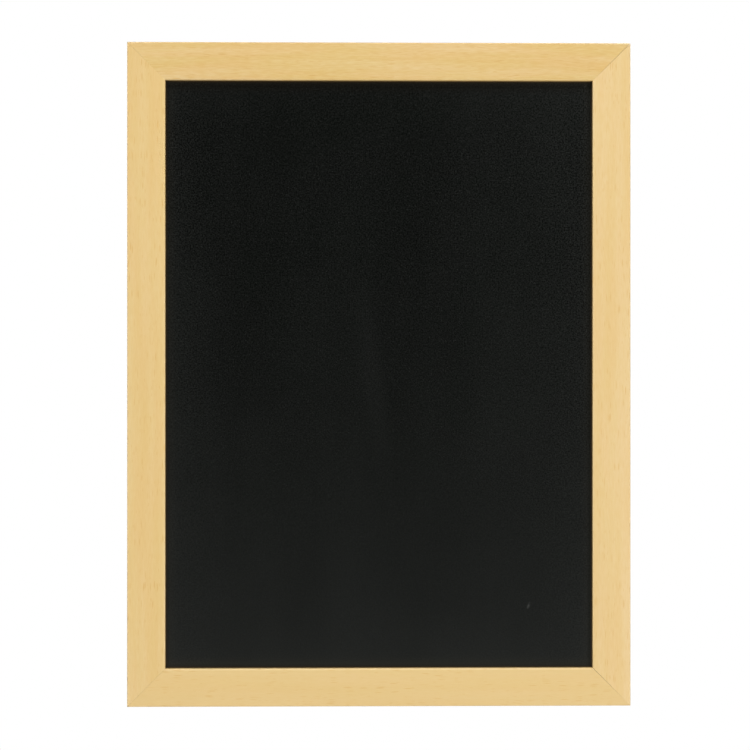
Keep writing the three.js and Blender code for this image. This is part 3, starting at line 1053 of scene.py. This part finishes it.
@dataclass
class Moulding:
    """The rebated section of the frame, seen from its end.

    Points are (across, deep): across is 0 at the outside of the frame and negative towards the opening,
    deep is 0 at the back and negative towards the front.
    """

    face: float
    depth: float
    lip: float = 3.8 * MM
    rebate: float = 8.5 * MM
    outer_arris: float = 0.7 * MM
    inner_arris: float = 0.6 * MM
    back_arris: float = 0.5 * MM
    steps: int = 7

    @property
    def wall(self) -> float:
        """Thickness of the wood beside the panel."""
        return self.face - self.rebate

    def shown_run(self) -> np.ndarray:
        """From the lip's back edge over the front to the start of the outer back edge.

        Returns:
            n x 2 points.
        """
        front, inner, outer = -self.depth, self.inner_arris, self.outer_arris
        return np.vstack((
            [(-self.face, front + self.lip)],
            arc((inner - self.face, front + inner), inner, math.pi, 3 * QUARTER, self.steps),
            arc((-outer, front + outer), outer, 3 * QUARTER, FULL_TURN, self.steps),
            [(0, -self.back_arris)],
        ))

    def raw_run(self) -> np.ndarray:
        """On from there, over the back and round the rebate to the lip's back edge again.

        Returns:
            n x 2 points.
        """
        back, ledge = self.back_arris, self.lip - self.depth
        return np.vstack((
            arc((-back, -back), back, 0, QUARTER, self.steps),
            arc((back - self.wall, -back), back, QUARTER, math.pi, self.steps),
            [(-self.wall, ledge), (-self.face, ledge)],
        ))


@dataclass
class VNail:
    """A V-shaped corner nail: a bent strip of steel, driven from the back with its front edge sharpened."""

    leg: float = 5 * MM
    wing: float = 1 * MM
    sheet: float = 0.6 * MM
    height: float = 10 * MM
    angle: float = math.radians(94)
    flare: float = math.radians(50)
    sink: float = 0.4 * MM
    margin: float = 2 * MM
    bend: float = 0.7 * MM
    sharpened: float = 1.2 * MM
    edge_share: float = 0.15
    slot_mouth: float = 1.6 * MM

    def line(self) -> np.ndarray:
        """The strip's middle seen from the front: its point is at the origin and looks towards +z.

        Returns:
            n x 2 points (x, z).
        """
        leg, wing = ((math.sin(a), -math.cos(a)) for a in (self.angle / 2, self.angle / 2 + self.flare))
        knee = np.array(leg) * self.leg
        tip = knee + np.array(wing) * self.wing
        mirror = np.array([-1, 1])
        return bent_line([tip * mirror, knee * mirror, (0, 0), knee, tip], self.bend)

    def distances(self, wall: float) -> dict[str, float]:
        """Where each nail of a corner is.

        Args:
            wall: thickness of the wood beside the panel.

        Returns:
            Each nail's distance from the frame's corner to its point, along the mitre.
        """
        legs = ((self.leg, self.angle / 2), (self.wing, self.angle / 2 + self.flare))
        reach = sum(length * (math.sin(a) + math.cos(a)) for length, a in legs)
        return {"outer": self.margin * math.sqrt(2) + reach, "inner": (wall - self.margin) * math.sqrt(2)}

    def loops(self, place: np.ndarray, turn: float, room: float = 0.0) -> np.ndarray:
        """The strip's outline at rising depths: line(s) +- half the sheet along the normal at s.

        Args:
            place: (x, z) of its point.
            turn: its turn about Y, in radians.
            room: added all round for the slot that it stands in, which is open at the back.

        Returns:
            rows x n x 3 points.
        """
        line = self.line()
        along, normal = directions(line)
        line[0] -= along[0] * room
        line[-1] += along[-1] * room
        foot = -self.sink - self.height - room
        depths = (foot, foot + self.sharpened, self.slot_mouth if room else -self.sink)
        outlines = []
        for share in (1.0 if room else self.edge_share, 1.0, 1.0):
            out = normal * (share * self.sheet / 2 + room)
            outlines.append(turned(np.vstack((line + out, (line - out)[::-1])), turn) + place)
        return stacked(outlines, depths)


@dataclass
class PanelPoint:
    """A flat steel point, driven into the rebate wall behind the panel, with its free end lifted a little.

    It is made as the CAD makes it: the rebate wall is at z = 0 and the driven end looks towards +z.
    """

    width: float = 6.5 * MM
    driven: float = 5 * MM
    tip: float = 3 * MM
    tip_width: float = 0.24 * MM
    tab: float = 8 * MM
    lift: float = 2.5 * MM
    lift_angle: float = math.radians(18)
    corner: float = 1.2 * MM
    sheet: float = 0.5 * MM
    seat_gap: float = 0.15 * MM
    bend: float = 2.0 * MM
    rounding: float = 0.06 * MM
    before_corner: float = 0.08  # a last full width just before the round corner, as a share of the lift
    steps: int = 6

    def line(self, panel_back: float) -> np.ndarray:
        """The strip's middle, from the driven tip to the free end, closely divided where its width changes.

        Args:
            panel_back: y of the panel's back.

        Returns:
            n x 2 points (z, y).
        """
        middle = panel_back + self.seat_gap + self.sheet / 2
        knee, shoulder = np.array([(self.lift - self.tab, middle), (self.driven - self.tip, middle)])
        rise = self.lift * np.array([-math.cos(self.lift_angle), math.sin(self.lift_angle)])
        bend = bent_line([(self.driven, middle), knee, knee + rise], self.bend)
        tip = np.linspace(bend[0], shoulder, self.steps + 1)
        end = np.linspace(bend[-1] - rise * self.corner / self.lift, bend[-1], self.steps + 1)[1:]
        return np.vstack((tip, bend[1:-1], end[:1] - rise * self.before_corner, end))

    def half_widths(self, line: np.ndarray) -> np.ndarray:
        """Half the width along the line: a straight taper to the tip, and a round corner at the free end.

        Args:
            line: the strip's middle.

        Returns:
            Half the width at each of its points.
        """
        half, run = self.width / 2, run_along(line)
        taper = np.where(line[:, 0] > self.driven - self.tip, half * run / self.tip, half)
        left = np.clip(self.corner - (run[-1] - run), 0, self.corner)
        return np.maximum(taper, self.tip_width / 2) - self.corner + np.sqrt(self.corner**2 - left**2)


@dataclass
class ScrewHole:
    """The pilot hole of a hanger's screw, a little wider than its thread."""

    radius: float = 1.62 * MM
    end_radius: float = 0.02 * MM
    depth: float = 9.3 * MM
    cone: float = 3 * MM
    sides: int = 28

    def patches(self, place: Sequence[float]) -> list[Patch]:
        """The hole as a closed shape, with its mouth past the back of the frame."""
        outlines = [circle(r, self.sides) + place for r in (self.end_radius, self.radius, self.radius)]
        return loft(stacked(outlines, (-self.depth, self.cone - self.depth, MM)), 1)


@dataclass
class FrameMember:
    """One mitred member, made lying along x with its outside edge at z = 0, then turned to its side."""

    side: Side
    timber: Timber
    mitres: tuple[Mitre, Mitre]
    moulding: Moulding
    points: Sequence[float]
    screws: Sequence[float]
    panel_back: float
    ease: float = 0.012 * MM
    slot_room: float = 0.05 * MM
    stations: int = 25
    stretch: tuple[float, float] = (0.73, 0.19)
    nail: VNail = field(default_factory=VNail)
    point: PanelPoint = field(default_factory=PanelPoint)

    @property
    def grain_start(self) -> np.ndarray:
        """Where its own stretch of the pattern of the grain starts: at its middle and the foot of its lip."""
        return self.side.value * np.array(self.stretch)

    def ends(self, section: np.ndarray) -> np.ndarray:
        """Both saw cuts: half the length, less the way in from the outside edge, less half the joint line.

        Args:
            section: n x 2 points of a section.

        Returns:
            2 x n, x of either cut at each point.
        """
        inwards = -section[:, 0] / self.moulding.face
        backwards = 1 + section[:, 1] / self.moulding.depth
        return np.array([
            sign * (self.side.length / 2 + section[:, 0] - mitre.gap(inwards, backwards) / math.sqrt(2))
            for sign, mitre in zip((-1, 1), self.mitres)
        ])

    def eased(self, section: np.ndarray) -> np.ndarray:
        """The closed section, each point moved inwards by the ease along its normal.

        Args:
            section: n x 2 points of a section.

        Returns:
            As many points.
        """
        along = np.roll(section, -1, axis=0) - np.roll(section, 1, axis=0)
        along /= np.linalg.norm(along, axis=1, keepdims=True)
        return section + self.ease * np.column_stack((-along[:, 1], along[:, 0]))

    def patches(self) -> list[Patch]:
        """The wood before it is cut for its fasteners.

        A point is (x, deep, across), x running from one saw cut to the other in even shares. The grain's
        coordinates are x and the way round the section, from the start of the member's own stretch.

        Returns:
            The lacquered run, the raw run and both ends.
        """
        shown, raw = self.moulding.shown_run(), self.moulding.raw_run()
        loop = np.vstack((shown[:-1], raw[:-1]))
        around = run_along(np.vstack((loop, loop[:1])))
        start, end = self.ends(loop)
        shares = np.linspace(0, 1, self.stations)[:, None]
        inset = self.ease * math.sqrt(2)
        x = (start + inset) * (1 - shares) + (end - inset) * shares
        body = np.stack((x, *(np.broadcast_to(c, x.shape) for c in (loop[:, 1], loop[:, 0]))), axis=-1)
        eased = self.eased(loop)
        tips = [np.column_stack((cut_x, eased[:, 1], eased[:, 0])) for cut_x in self.ends(eased)]
        rows = np.concatenate((tips[:1], body, tips[1:]))
        rows = np.concatenate((rows, rows[:, :1]), axis=1)
        grain = np.stack((rows[..., 0], np.broadcast_to(around, rows.shape[:2])), axis=-1) + self.grain_start

        split = len(shown) - 1
        runs = (np.s_[:, : split + 1], np.s_[:, split:])
        made = [Patch(rows[run], number, grain[run]) for number, run in enumerate(runs)]
        return made + [Patch(tip, 2, tip[:, 1:] + self.grain_start) for tip in tips]

    def nail_places(self) -> list[tuple[str, np.ndarray, float]]:
        """Where the nails of both ends stand, in the member's own frame.

        Returns:
            Name, place and turn of each, those at its start first.
        """
        places = []
        for sign in (-1, 1):
            for name, distance in self.nail.distances(self.moulding.wall).items():
                way = np.array([sign, 1]) * distance / math.sqrt(2)
                places.append((name, (sign * self.side.length / 2, 0) - way, math.atan2(-sign, -1)))
        return places

    def cutters(self) -> list[Patch]:
        """The slots of its nails and points and the holes of its screws.

        Returns:
            Closed shapes that don't touch each other.
        """
        made = []
        for _, place, turn in self.nail_places():
            made += loft(self.nail.loops(place, turn, self.slot_room), 1)
        slot, room, wall = self.point, self.slot_room, self.moulding.wall
        wide, shoulder, free = slot.width / 2 + room, slot.driven - slot.tip, -self.moulding.rebate / 2
        half = [(0, slot.driven + 2 * room), (-wide, shoulder), (-wide, free)]
        outline = np.array([*half, (wide, free), (wide, shoulder)])
        low = self.panel_back + slot.seat_gap - room
        for x in self.points:
            made += loft(stacked([outline + (x, -wall)] * 2, (low, low + slot.sheet + 2 * room)), 1)
        for x in self.screws:
            made += ScrewHole().patches((x, -wall / 2))
        return made

    def build(self, raw: Material, ends: Material) -> None:
        """Makes the member with its slots, in its place.

        Args:
            raw: the finish of its back.
            ends: the finish of its saw cuts.
        """
        timber = self.timber
        lacquered = Beech(
            f"lacquered_{timber.node}", timber.tint, timber.flecks, timber.figure, roughness=0.42,
            lacquer=0.6, lip_foot=float(self.grain_start[1]), wear=timber.wear,
        )
        wood = closed_object(f"{timber.node}_moulding", self.patches(), (lacquered.material(), raw, ends))
        cut(wood, self.cutters())
        settle(wood, self.side.matrix(), "board", "beech", timber.node)

    def build_points(self, steel: Material) -> None:
        """Makes the points that it holds.

        Args:
            steel: their finish.
        """
        line, place = self.point.line(self.panel_back), self.side.matrix()
        loops = strip_loops(line, self.point.half_widths(line), self.point.sheet)
        for number, x in enumerate(self.points, 1):
            node, moved = f"{self.timber.node}_point_{number}", loops + (x, 0, -self.moulding.wall)
            MetalPiece(node, moved, steel, place, slot="spring_steel", rounding=self.point.rounding).build()

    def build_nails(self, steel: Material) -> None:
        """Makes the nails of the corner at its start, which are the first half of its nails.

        Args:
            steel: their finish.
        """
        places = self.nail_places()
        for name, place, turn in places[: len(places) // 2]:
            node = f"v_nail_{self.mitres[0].corner}_{name}"
            MetalPiece(node, self.nail.loops(place, turn), steel, self.side.matrix()).build()


@dataclass
class MitredFrame:
    """The four members with their corner nails, and the points that hold the panel."""

    point_inset: float = 32 * MM
    points_per_stile: int = 3
    points_per_rail: int = 2
    mitres: tuple[Mitre, ...] = (
        Mitre("top_left", 0.06 * MM, -0.09 * MM),
        Mitre("top_right", 0.2 * MM, -0.2 * MM),
        Mitre("bottom_right", -0.42 * MM, 0.2 * MM),
        Mitre("bottom_left", 0.05 * MM, 0.05 * MM),
    )
    # each tint is the wood's tone with painted light in it, tuned to how the lamps light its side; the right
    # stile's holds a painted sheen of the key light. The last number is the painted highlight on the inner
    # arris, none on the top rail, whose arris faces down.
    timbers: tuple[Timber, ...] = (
        Timber("top_rail", linear(221.4, 189.8, 129.6), 1.0, 0.9, 0.0),
        Timber("right_stile", linear(227.9, 197, 140), 0.52, 0.85, 0.3),
        Timber("bottom_rail", linear(225.6, 194.4, 134.1), 0.26, 0.75, 1.0),
        Timber("left_stile", linear(225.5, 193.8, 133.2), 0.48, 0.95, 0.55),
    )
    raw_tint: Colour = linear(226, 194, 146)

    def screw_places(self, side: Side) -> list[float]:
        """Where the hangers' screws stand along a member: a stile has one.

        Args:
            side: the member's side.

        Returns:
            x of each, in the member's own frame.
        """
        if not side.upright:
            return []
        rise = middle_height(f"{side.name.lower()}_hanger_screw") - CENTRE_Z
        return [rise if side is Side.LEFT else -rise]

    def members(self) -> list[FrameMember]:
        """The members in clockwise order from the top, each from the corner of its own number to the next.

        Their points stand evenly, the last ones at the inset from the opening's corners.

        Returns:
            The four members.
        """
        low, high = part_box("top_rail")
        moulding, panel_back = Moulding(high.z - low.z, -FRONT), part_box("writing_panel")[1].y
        corners = zip(self.mitres, (*self.mitres[1:], self.mitres[0]))
        made = []
        for side, timber, mitres in zip(Side, self.timbers, corners):
            last = side.length / 2 - moulding.face - self.point_inset
            points = np.linspace(-last, last, self.points_per_stile if side.upright else self.points_per_rail)
            screws = self.screw_places(side)
            made.append(FrameMember(side, timber, mitres, moulding, points, screws, panel_back))
        return made

    def build(self) -> None:
        """Makes the wood and its small steel pieces."""
        raw = Beech(
            "raw_beech", self.raw_tint, 0.8, roughness=0.75, specular=0.25, relief=0.05 * MM, saw_marks=0.12,
        ).material()
        ends = EndGrain("beech_end_grain").material()
        spring = Steel("spring_steel_dark", linear(96, 98, 102), linear(74, 72, 74), 0.38).material()
        zinc = Steel("zinc_on_nails", linear(196, 198, 201), linear(168, 170, 172), 0.36).material()
        for member in self.members():
            member.build(raw, ends)
            member.build_points(spring)
            member.build_nails(zinc)


# The writing panel


@dataclass
class WritingPanel:
    """The hardboard sheet with its chalk coat, very slightly uneven, as rolled board is."""

    node: str = "writing_panel"
    rise: float = 0.03 * MM
    wave: float = 95 * MM
    wave_ratio: float = 1.6
    spacing: float = 5 * MM
    hidden: float = 8 * MM
    rounding: float = 0.3 * MM
    screen_pitch: float = 1.7 * MM
    sawn_pitch: float = 0.7 * MM

    def build(self) -> None:
        """Makes the panel: front and back as grids over (x, z), and a wall round them.

        The front's y is its plane's, plus half the rise times (1 - the product of a sine of x and one of z).
        """
        low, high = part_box(self.node)
        middle, half = (low + high) / 2, (high - low) / 2
        columns, rows = (round(2 * h / self.spacing) + 1 for h in (half.x, half.z))
        upright, level = np.linspace(low.z, high.z, rows), np.linspace(low.x, high.x, columns)
        z, x = np.meshgrid(upright, level, indexing="ij")
        across = np.sin(FULL_TURN * (x - middle.x) / self.wave)
        upwards = np.sin(FULL_TURN * (z - middle.z) / (self.wave_ratio * self.wave))
        front = np.stack((x, low.y + self.rise * (1 - across * upwards) / 2, z), axis=-1)
        back = np.stack((x, np.full_like(x, high.y), z), axis=-1)
        patches = [Patch(front, 0), Patch(back, 1)]
        for pick in (np.s_[0], np.s_[-1], np.s_[:, 0], np.s_[:, -1]):
            patches.append(Patch(np.stack((front[pick], back[pick])), 2))

        sheet = Field(middle, half.x, half.z)
        finishes = (
            ChalkCoat("chalk_coat", Field(middle, half.x - self.hidden, half.z - self.hidden)),
            Hardboard("hardboard_back", self.screen_pitch, sheet),
            Hardboard("hardboard_edge", self.sawn_pitch, sheet),
        )
        panel = closed_object("writing_panel_board", patches, [finish.material() for finish in finishes])
        soften(panel, self.rounding)
        settle(panel, Matrix(), "board", "chalk_surface", self.node)


# The hangers


@dataclass
class Screw:
    """A pan-head wood screw with a cross recess and a cut thread, made with its axis along y."""

    head: float = 5.6 * MM
    head_height: float = 1.9 * MM
    rim: float = 0.6 * MM
    under_head: float = 0.15 * MM
    flat: float = 2.4 * MM
    shank: float = 1.5 * MM
    length: float = 11 * MM
    tip: float = 3.5 * MM
    pitch: float = 1.25 * MM
    thread: float = 0.32 * MM
    thread_end: float = 0.9 * MM
    neck: float = 0.5 * MM
    recess: float = 3.0 * MM
    slot: float = 0.75 * MM
    recess_depth: float = 1.3 * MM
    recess_mouth: float = 0.3 * MM
    recess_shares: tuple[float, float, float] = (1.08, 1.0, 0.5)  # width at mouth, crown and bottom
    groove_slope: float = 1.35
    thread_share: float = 0.4  # the most that the thread takes of a thin tip's radius
    sides: int = 40
    cone_rows: int = 22
    thread_rows: int = 52
    dome_steps: int = 10

    def profile(self) -> np.ndarray:
        """The screw's outline from the tip to the middle of the head.

        Returns:
            n x 3: radius, height, and share of the thread's depth.
        """
        cone = np.linspace(0, 1, self.cone_rows)
        body = np.linspace(self.tip - self.length, -self.thread_end, self.thread_rows)[1:]
        dome_size = ((self.head - self.flat) / 2, self.head_height - self.rim)
        crown = arc((0, 0), 1, 0, QUARTER, self.dome_steps) * dome_size + (self.flat / 2, self.rim)
        return np.vstack((
            np.column_stack((cone * self.shank, cone * self.tip - self.length, cone)),
            np.insert(body[:, None], (0, 1), (self.shank, 1), axis=1),
            [(self.shank, -self.neck, 0), (self.shank, 0, 0), (self.head / 2 - self.under_head, 0, 0)],
            [(self.head / 2, self.under_head, 0)],
            np.insert(crown, 2, 0, axis=1),
            [(self.flat / 4, self.head_height, 0), (0, self.head_height, 0)],
        ))

    def build(self, node: str, crown: Vector, zinc: Material) -> None:
        """Makes the screw: its radius at an angle a and a height y is the profile's, less the thread's depth
        away from the ridge, whose middle is where y / pitch + a / (one turn) is a whole number.

        Args:
            node: the CAD node that it replaces.
            crown: the top of its head.
            zinc: its finish.
        """
        radius, height, threaded = self.profile().T[..., None]
        angles = np.linspace(0, FULL_TURN, self.sides + 1)[:-1]
        phase = (height / self.pitch + angles / FULL_TURN) % 1
        groove = np.clip(np.abs(2 * phase - 1) * self.groove_slope, 0, 1)
        reach = radius - np.minimum(self.thread, radius * self.thread_share) * threaded * (1 - groove)
        heights = np.broadcast_to(height, reach.shape)
        loops = np.stack((reach * np.cos(angles), heights, reach * np.sin(angles)), axis=-1)
        place = Matrix.Translation(crown - Vector((0, self.head_height, 0)))
        MetalPiece(node, loops, zinc, place, cutters=self.recess_patches()).build()

    def recess_patches(self) -> list[Patch]:
        """The cross that the driver takes: its outline narrows to half over its depth.

        Returns:
            The cross as a closed shape, with its mouth past the head.
        """
        arm, wide = self.recess / 2, self.slot / 2
        quarter = np.array([(arm, -wide), (arm, wide), (wide, wide)])
        cross = np.vstack([turned(quarter, -number * QUARTER) for number in range(4)])
        depths = self.head_height + np.array([self.recess_mouth, 0, -self.recess_depth])
        return loft(stacked([cross * share for share in self.recess_shares], depths))


@dataclass
class Hanger:
    """A folded strap round the bar of a D-ring, held by one screw.

    It is made as the CAD makes it: the bar's axis is at z = 0 and the back of the frame at y = 0.
    """

    name: str
    joint: Mapping[str, Any]
    width: float = 7.5 * MM
    sheet: float = 0.8 * MM
    tail: float = 4.5 * MM
    corner: float = 2.5 * MM
    seat_gap: float = 0.1 * MM
    fold_gap: float = 0.12 * MM
    barrel_room: float = 0.2 * MM
    slope: float = math.radians(40)
    leaf_bend: float = 1.4 * MM
    hole_room: float = 0.25 * MM
    rounding: float = 0.12 * MM
    wire: float = 2 * MM
    ring_corner: float = 1.8 * MM
    ring_split: float = 0.6 * MM
    nipped: float = 0.12 * MM
    nipped_share: float = 0.8
    wire_sides: int = 20
    leaf_rows: tuple[int, int] = (40, 30)  # lower, upper
    barrel_steps: int = 28
    bend_steps: int = 6
    bow_steps: int = 40
    corner_steps: int = 8
    hole_sides: int = 36
    side_room: float = 1.25 * MM
    head_room: float = 0.7 * MM
    rest_gap: float = 0.25 * MM
    screw: Screw = field(default_factory=Screw)

    @property
    def place(self) -> Vector:
        """Where the hanger's own origin is in the frame."""
        return Vector((self.joint["pos_m"][0], 0, self.joint["pos_m"][2]))

    @property
    def axis(self) -> float:
        """Height of the bar's axis off the frame."""
        return self.joint["pos_m"][1]

    @property
    def drop(self) -> float:
        """From the bar's axis down to the screw."""
        return self.place.z - middle_height(f"{self.name}_screw")

    @property
    def top(self) -> float:
        """Height of the upper leaf's face off the frame."""
        return self.seat_gap + 2 * self.sheet + self.fold_gap

    def strap_line(self) -> np.ndarray:
        """The middle of the sheet: lower leaf, round the barrel, down the slope, upper leaf.

        Returns:
            n x 2 points (z, y).
        """
        barrel = self.wire / 2 + self.barrel_room + self.sheet / 2
        end, bend = -self.drop - self.tail, self.leaf_bend
        upper = self.top - self.sheet / 2
        fall = self.axis + barrel * math.cos(self.slope) - upper - bend * (1 - math.cos(self.slope))
        flat = (barrel + bend) * math.sin(self.slope) + fall / math.tan(self.slope)
        lower, (lower_rows, upper_rows) = self.seat_gap + self.sheet / 2, self.leaf_rows
        return np.vstack((
            np.linspace((end, lower), (0, lower), lower_rows)[:-1],
            arc((0, self.axis), barrel, -QUARTER, QUARTER + self.slope, self.barrel_steps),
            arc((-flat, upper + bend), bend, self.slope - QUARTER, -QUARTER, self.bend_steps),
            np.linspace((-flat, upper), (end, upper), upper_rows)[1:],
        ))

    def build_strap(self, zinc: Material) -> None:
        """Makes the strap, its width drawn in by a round corner at both ends, with the hole for its screw.

        Args:
            zinc: its finish.
        """
        line = self.strap_line()
        run = run_along(line)
        left = np.clip(self.corner - np.minimum(run, run[-1] - run), 0, self.corner)
        half_widths = self.width / 2 - self.corner + np.sqrt(self.corner**2 - left**2)
        hole = circle(self.screw.shank + self.hole_room, self.hole_sides) - (0, self.drop)
        cutters = loft(stacked([hole] * 2, (-MM, self.top + MM)))
        loops, place = strip_loops(line, half_widths, self.sheet), Matrix.Translation(self.place)
        MetalPiece(
            f"{self.name}_strap", loops, zinc, place, cutters=cutters, rounding=self.rounding
        ).build()

    def ring_line(self) -> np.ndarray:
        """The middle of the wire: half the bar, round the bow and back to the split.

        Returns:
            n x 2 points (x, z).
        """
        half = self.width / 2 + self.side_room + self.wire / 2
        reach = self.drop + self.screw.head / 2 + self.head_room + self.wire / 2
        corner, split = self.ring_corner, self.ring_split / 2
        return np.vstack((
            [(split, 0), (split + self.nipped, 0)],
            arc((half - corner, corner), corner, -QUARTER, 0, self.corner_steps),
            arc((0, reach - half), half, 0, math.pi, self.bow_steps),
            arc((corner - half, corner), corner, math.pi, 3 * QUARTER, self.corner_steps),
            [(-split - self.nipped, 0), (-split, 0)],
        ))

    def build_ring(self, zinc: Material) -> None:
        """Makes the ring: a circle carried along the wire, leaning back until the bow is close to the frame.

        A point is line(s) + r (cos a, normal to the line in the ring's plane; sin a, out of the plane), with
        r a little smaller at the two nipped ends.

        Args:
            zinc: its finish.
        """
        line = self.ring_line()
        radius = np.full((len(line), 1), self.wire / 2)
        radius[[0, -1]] *= self.nipped_share
        across, out = circle(1, self.wire_sides).T
        flat = line[:, None] + (radius * across)[..., None] * directions(line)[1][:, None]
        loops = np.insert(flat, 1, radius * out, axis=2)
        lean = math.asin((self.axis - self.wire / 2 - self.rest_gap) / line[:, 1].max())
        place = Matrix.Translation(self.place + Vector((0, self.axis, 0))) @ Matrix.Rotation(lean, 4, "X")
        body = self.joint["child"]
        MetalPiece(f"{self.name}_d_ring", loops, zinc, place, body, made_of="wire").build()

    def build(self, zinc: Material) -> None:
        """Makes the strap, the ring and the screw.

        Args:
            zinc: their finish.
        """
        self.build_strap(zinc)
        self.build_ring(zinc)
        node = f"{self.name}_screw"
        self.screw.build(node, Vector((self.place.x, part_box(node)[1].y, middle_height(node))), zinc)


# The studio


@dataclass
class Softbox:
    """A large soft light that looks at the board."""

    name: str
    place: tuple[float, float, float]
    width: float
    height: float
    watts: float

    def build(self) -> None:
        """Makes the light, unseen by the camera."""
        data = bpy.data.lights.new(self.name, "AREA")
        data.shape = "RECTANGLE"
        data.size, data.size_y = self.width, self.height
        data.energy = self.watts
        light = bpy.data.objects.new(self.name, data)
        bpy.context.scene.collection.objects.link(light)
        light.location = self.place
        look = Vector((CENTRE_X, 0, CENTRE_Z)) - Vector(self.place)
        light.rotation_euler = look.to_track_quat("-Z", "Y").to_euler()
        light.visible_camera = False


@dataclass(frozen=True)
class PaleFloor(Finish):
    """A pale matt floor that fades into the white round it."""

    radius: float
    tones: tuple[Colour, Colour] = ((0.84, 0.84, 0.83, 1.0), (0.88, 0.88, 0.87, 1.0))

    def looks(self, graph: Graph) -> Looks:
        """Read off the place in the frame.

        Args:
            graph: the graph to add to.

        Returns:
            The shader's inputs, the relief and its height.
        """
        place = graph.value("TexCoord", output="Object")
        away = (place * (1.0, 1.0, 0.0)).length()
        glow = graph.ramp(away, 0.3 * self.radius, 0.95 * self.radius, 0.5, 1.0)
        seen = glow * graph.value("LightPath", output="Is Camera Ray")
        shader = {"Base Color": graph.blend(graph.noise(place, 3.0), *self.tones), "Roughness": 0.9}
        return shader | {"Emission Color": seen, "Emission Strength": 1.0}, None, 0.0


@dataclass
class Studio:
    """Camera, lights, a white surround and a pale floor well below the hanging board."""

    distance: float = 1.2
    sensor: float = 36.0  # mm
    image_width: float = 750.0  # pixels
    photographed_width: float = 503.8  # pixels
    axis_turn: float = math.radians(0.917)
    aside: float = 4.3  # pixels
    above: float = 0.6  # pixels
    floor_drop: float = 1.2
    floor_radius: float = 5.6
    floor_rings: int = 12
    floor_spokes: int = 73
    surround: float = 0.12  # strength of the light from all round
    lights: tuple[Softbox, ...] = (
        Softbox("key_right", (1.25, -1.6, -0.8), 1.0, 1.2, 15.5),
        Softbox("fill_left", (-1.1, -1.6, -0.85), 1.0, 1.2, 8),
        Softbox("top_strip", (0.0, -1.4, 2.0), 2.6, 1.0, 65.5),
        Softbox("back_left", (0.8, 1.5, 0.8), 1.1, 1.1, 22),
        Softbox("back_right", (-1.0, 1.3, 0.1), 0.9, 1.1, 10),
        Softbox("side_left", (-1.5, 0.6, -0.1), 0.9, 1.1, 5.5),
        Softbox("side_right", (1.5, 0.6, -0.1), 0.9, 1.1, 3),
    )

    def build_camera(self) -> None:
        """Puts the camera where it makes the board as wide as photographed, square on but for a small turn.

        The board's middle comes out a few pixels aside and above the middle of the image, so the camera
        stands that much the other way along the board's plane.
        """
        data = bpy.data.cameras.new("camera")
        data.sensor_width = self.sensor
        pixels_per_metre = self.photographed_width / FRAME_WIDTH
        data.lens = self.sensor * self.distance * pixels_per_metre / self.image_width
        camera = bpy.data.objects.new("camera", data)
        bpy.context.scene.collection.objects.link(camera)
        camera.location = (
            CENTRE_X - self.distance * math.tan(self.axis_turn) - self.aside / pixels_per_metre,
            FRONT - self.distance,
            CENTRE_Z - self.above / pixels_per_metre,
        )
        camera.rotation_euler = (QUARTER, 0, -self.axis_turn)
        bpy.context.scene.camera = camera

    def build_world(self) -> None:
        """White to the camera, a dimmer and even surround to everything else."""
        world = bpy.data.worlds.new("white_surround")
        world.use_nodes = True
        graph = Graph(world.node_tree)
        lit, seen = (
            graph.value("Background", {"Color": (1, 1, 1, 1), "Strength": strength})
            for strength in (self.surround, 1.0)
        )
        camera_ray = graph.value("LightPath", output="Is Camera Ray")
        mixed = graph.value("MixShader", {0: camera_ray, 1: lit, 2: seen})
        graph.node("OutputWorld", {"Surface": mixed})
        bpy.context.scene.world = world
        bpy.context.scene.view_settings.view_transform = "Standard"

    def build_floor(self) -> None:
        """Makes the floor: a disc over (radius, angle)."""
        radii = np.linspace(0.0, self.floor_radius, self.floor_rings)
        angles = np.linspace(0, FULL_TURN, self.floor_spokes)
        radius, angle = np.meshgrid(radii, angles, indexing="ij")
        level = np.full_like(radius, CAD_BOX[0].z - self.floor_drop)
        disc = Patch(np.stack((radius * np.cos(angle), radius * np.sin(angle), level), axis=-1))
        pale = PaleFloor("pale_floor", self.floor_radius)
        closed_object("floor", [disc], (pale.material(),))

    def build(self) -> None:
        """Makes the camera, the surround, the floor and the lights."""
        self.build_camera()
        self.build_world()
        self.build_floor()
        for softbox in self.lights:
            softbox.build()


def main() -> None:
    """Builds the studio and the board, piece by piece."""
    logging.basicConfig(level=logging.INFO, format="%(message)s")
    Studio().build()
    MitredFrame().build()
    WritingPanel().build()
    zinc = Steel("zinc_on_hangers", linear(206, 208, 210), linear(180, 182, 184), 0.3).material()
    for joint in frame["joints"]:
        side = joint["child"].split("_")[0]
        Hanger(f"{side}_hanger", joint).build(zinc)


if __name__ == "__main__":
    main()
